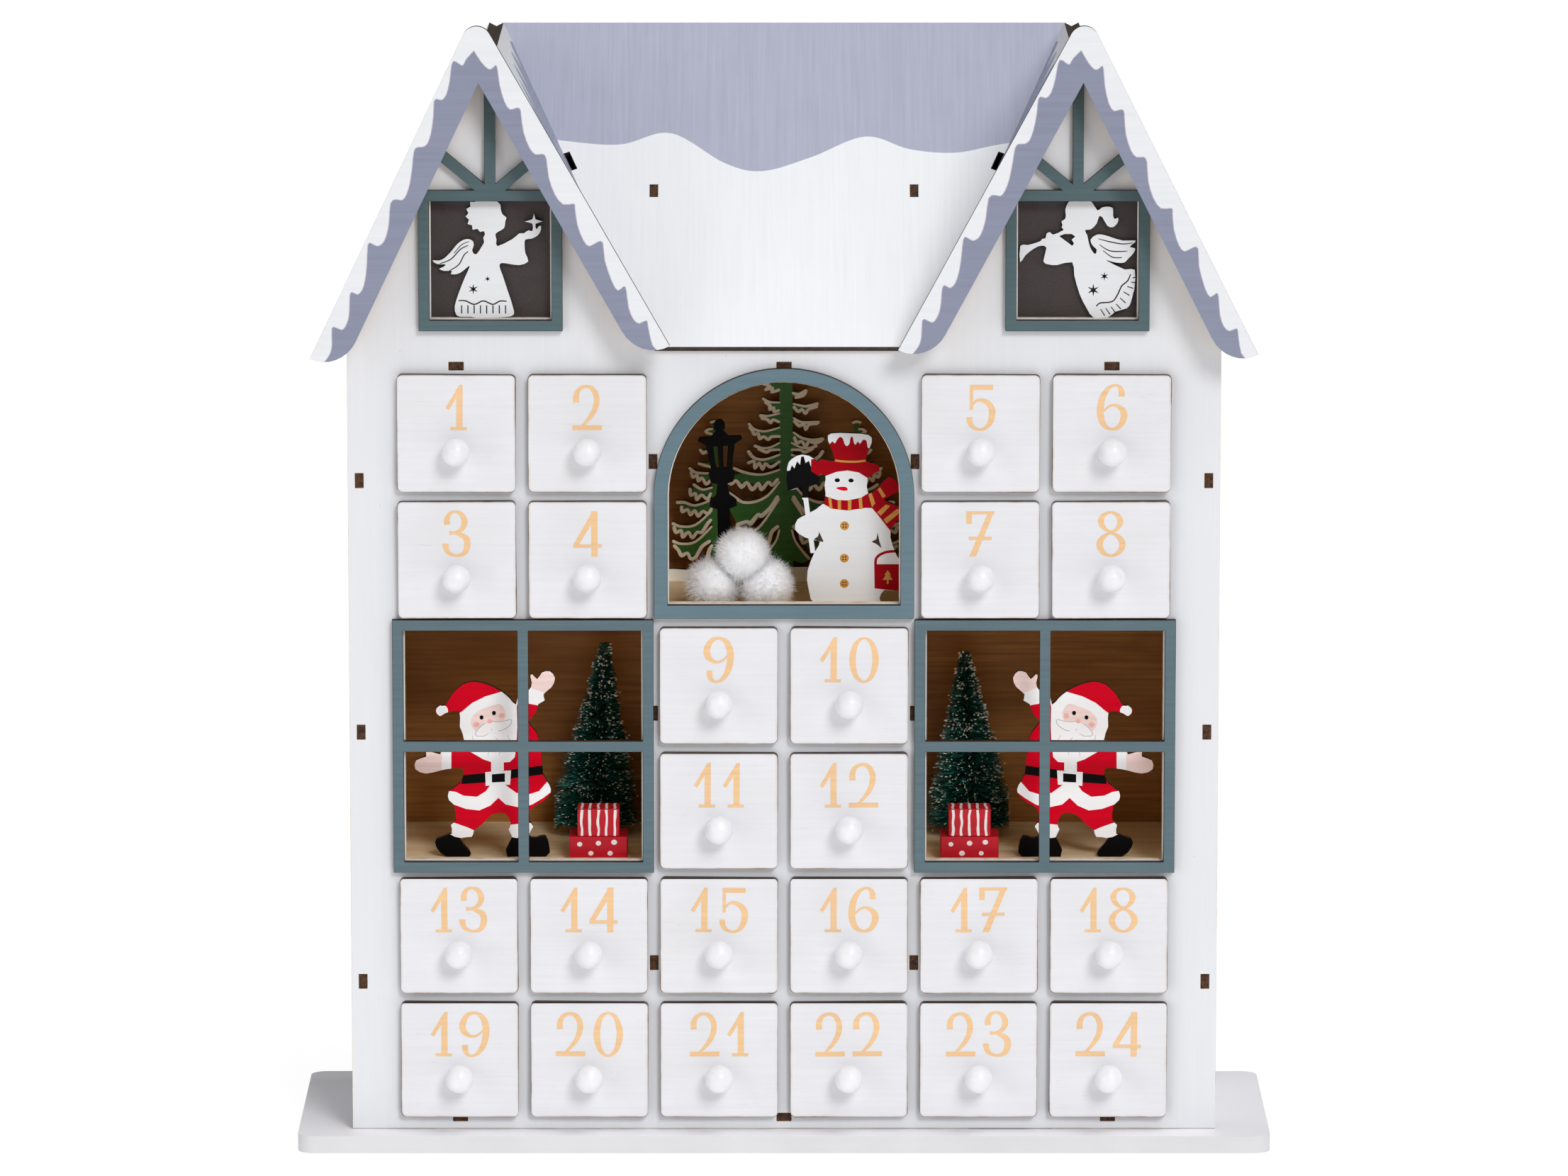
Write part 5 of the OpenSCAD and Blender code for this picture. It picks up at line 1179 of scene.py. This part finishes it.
def brushTree(side, seed):
    pick = random.Random(seed)
    look = treeLook
    low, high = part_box("brush_tree_" + side)
    middle = Vector(((low.x + high.x) / 2 + look[side]["shift"] * mm, (low.y + high.y) / 2, low.z))
    height = (high.z - low.z) * look[side]["tall"]
    lean, foot = look[side]["lean"], look["foot"]
    aside, deep, lift = look["margin"]
    mesh = bmesh.new()
    for turn in (0, math.pi):                      # two wires twisted round each other
        points = []
        for t in [i / look["wireParts"] for i in range(look["wireParts"] + 1)]:
            a = t * look["wireTurn"] + turn
            points.append(middle + Vector((math.cos(a) * look["wire"] + lean * t * height, math.sin(a) * look["wire"],
                                           t * height * look["wireTall"])))
        strandOn(mesh, points, [look["wireThick"]] * len(points), sides=5, material=2)
    spots = []
    for i in range(fewer(look["strands"])):
        u = min(foot + (1 - foot) * (1 - pick.random() ** look["crowd"]), look["top"])
        a = pick.uniform(0, 2 * math.pi)
        share = (u - foot) / (1 - foot)
        out = Vector((math.cos(a), math.sin(a), 0))
        reach = (look["tip"] + (look["reach"] - look["tip"]) * (1 - share) ** look["taper"]) * mm
        lump = noise.noise(Vector((math.cos(a) * 1.5, math.sin(a) * 1.5, share * 9 + seed)))
        wave = 1 + look["tierWave"] * math.sin(share * look["tiers"]) + look["lump"] * lump
        length = reach * min(wave, 1.0) * (1 - look["short"] * pick.random() ** 2)
        root = middle + Vector((lean * u * height, 0, u * height))
        rise = look["tilt"] * pick.uniform(0.3, 1.2) * (0.4 + share * 0.7)
        drop = -look["droop"] * length * pick.uniform(0, 1)
        bend = scatter(pick) * length * look["bend"]
        tip = root + out * length + Vector((0, 0, rise * length + drop)) + bend
        half = root + out * length * 0.52 + Vector((0, 0, rise * length * 0.42)) - bend * 0.4
        tip.z = min(tip.z, high.z)
        for p in (half, tip):                      # stays near the solid's own box
            p.x = min(max(p.x, low.x - aside), high.x + aside)
            p.y = min(max(p.y, low.y - deep), high.y + deep)
            p.z = max(p.z, low.z + lift)
        w = look["thick"] * mm * pick.uniform(*look["uneven"])
        strandOn(mesh, [root, half, tip], (w, w, w * 0.45), material=3 if pick.random() < look["pale"] else 0)
        spots.append((half.lerp(tip, pick.uniform(0.75, 1.04)), tip - half, share))
    for i in range(fewer(look["frost"])):          # flakes of frost on the outer bristles
        place, along, share = pick.choice(spots)
        if noise.noise(place * look["frostPatch"]) - 0.04 + 0.12 * share < 0 and pick.random() < 0.9:
            continue
        along = along.normalized() * pick.uniform(*look["flakeLong"]) * mm
        size = pick.uniform(look["flakeWide"][0], look["flakeWide"][1] + 0.22 * share) * mm
        flake = [place - along * 0.5, place, place + along * 0.5]
        strandOn(mesh, flake, (size * 0.4, size, size * 0.3), sides=4, material=1)
    piece = meshPiece("brush_" + side, mesh, ["bristle", "frost", "wire", "paleBristle"])
    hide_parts("brush_tree_" + side)


brushTree("left", 5)
brushTree("right", 8)
print("brush trees bristled")


# stage, light and camera

# turn: degrees to the right of the front; height: degrees above the table; spread: how soft its shadows are
lightLook = {"keyLight": {"turn": 23, "height": 34, "spread": 20, "strength": 1.34},
             "fillLight": {"turn": -53, "height": 14, "spread": 34, "strength": 0.44},
             "topLight": {"turn": 60, "height": 72, "spread": 30, "strength": 0.8}}
stageLook = {"sky": 0.27, "floorGlow": 0.88, "floorSize": 12.0}
cameraLook = {"place": (0.0, -3.3982, 0.781), "pitch": 9.657, "lens": 212.69, "sensor": 36.0, "farthest": 60}


def stageFloor():
    tree, shader = newMaterial("paleFloor", "floor")
    colour = mixColour(tree, streaks(tree, 3, detail=2.0), screenColour(127, 127, 127), screenColour(125, 125, 125))
    shader.inputs["Emission Color"].default_value = (1, 1, 1, 1)        # a lit table, so the ground stays white
    shader.inputs["Emission Strength"].default_value = stageLook["floorGlow"]
    finish(tree, shader, colour, 0.9)
    mesh = bmesh.new()
    bmesh.ops.create_grid(mesh, x_segments=8, y_segments=8, size=stageLook["floorSize"])
    data = bpy.data.meshes.new("floor")
    mesh.to_mesh(data)
    mesh.free()
    data.materials.append(paints["floor"])
    floor = addToScene("floor", data)


def softSun(name, turn, height, spread, strength):
    data = bpy.data.lights.new(name, "SUN")
    data.energy = strength
    data.angle = math.radians(spread)
    turn, height = math.radians(turn), math.radians(height)
    away = Vector((math.sin(turn) * math.cos(height), -math.cos(turn) * math.cos(height), math.sin(height)))
    lamp = addToScene(name, data)
    lamp.location = away * 3
    lamp.rotation_euler = (-away).to_track_quat("-Z", "Y").to_euler()


stageFloor()
for name, look in lightLook.items():
    softSun(name, **look)
world = bpy.data.worlds.new("softSky")
bpy.context.scene.world = world
world.use_nodes = True
background = world.node_tree.nodes["Background"]
background.inputs[0].default_value = (1, 1, 1, 1)
background.inputs[1].default_value = stageLook["sky"]

cameraData = bpy.data.cameras.new("camera")
cameraData.lens = cameraLook["lens"]
cameraData.sensor_width = cameraLook["sensor"]
cameraData.clip_end = cameraLook["farthest"]
camera = addToScene("camera", cameraData)
camera.location = cameraLook["place"]
camera.rotation_euler = (math.radians(90 - cameraLook["pitch"]), 0, 0)
bpy.context.scene.camera = camera
bpy.context.scene.view_settings.view_transform = "Standard"
print("stage set")
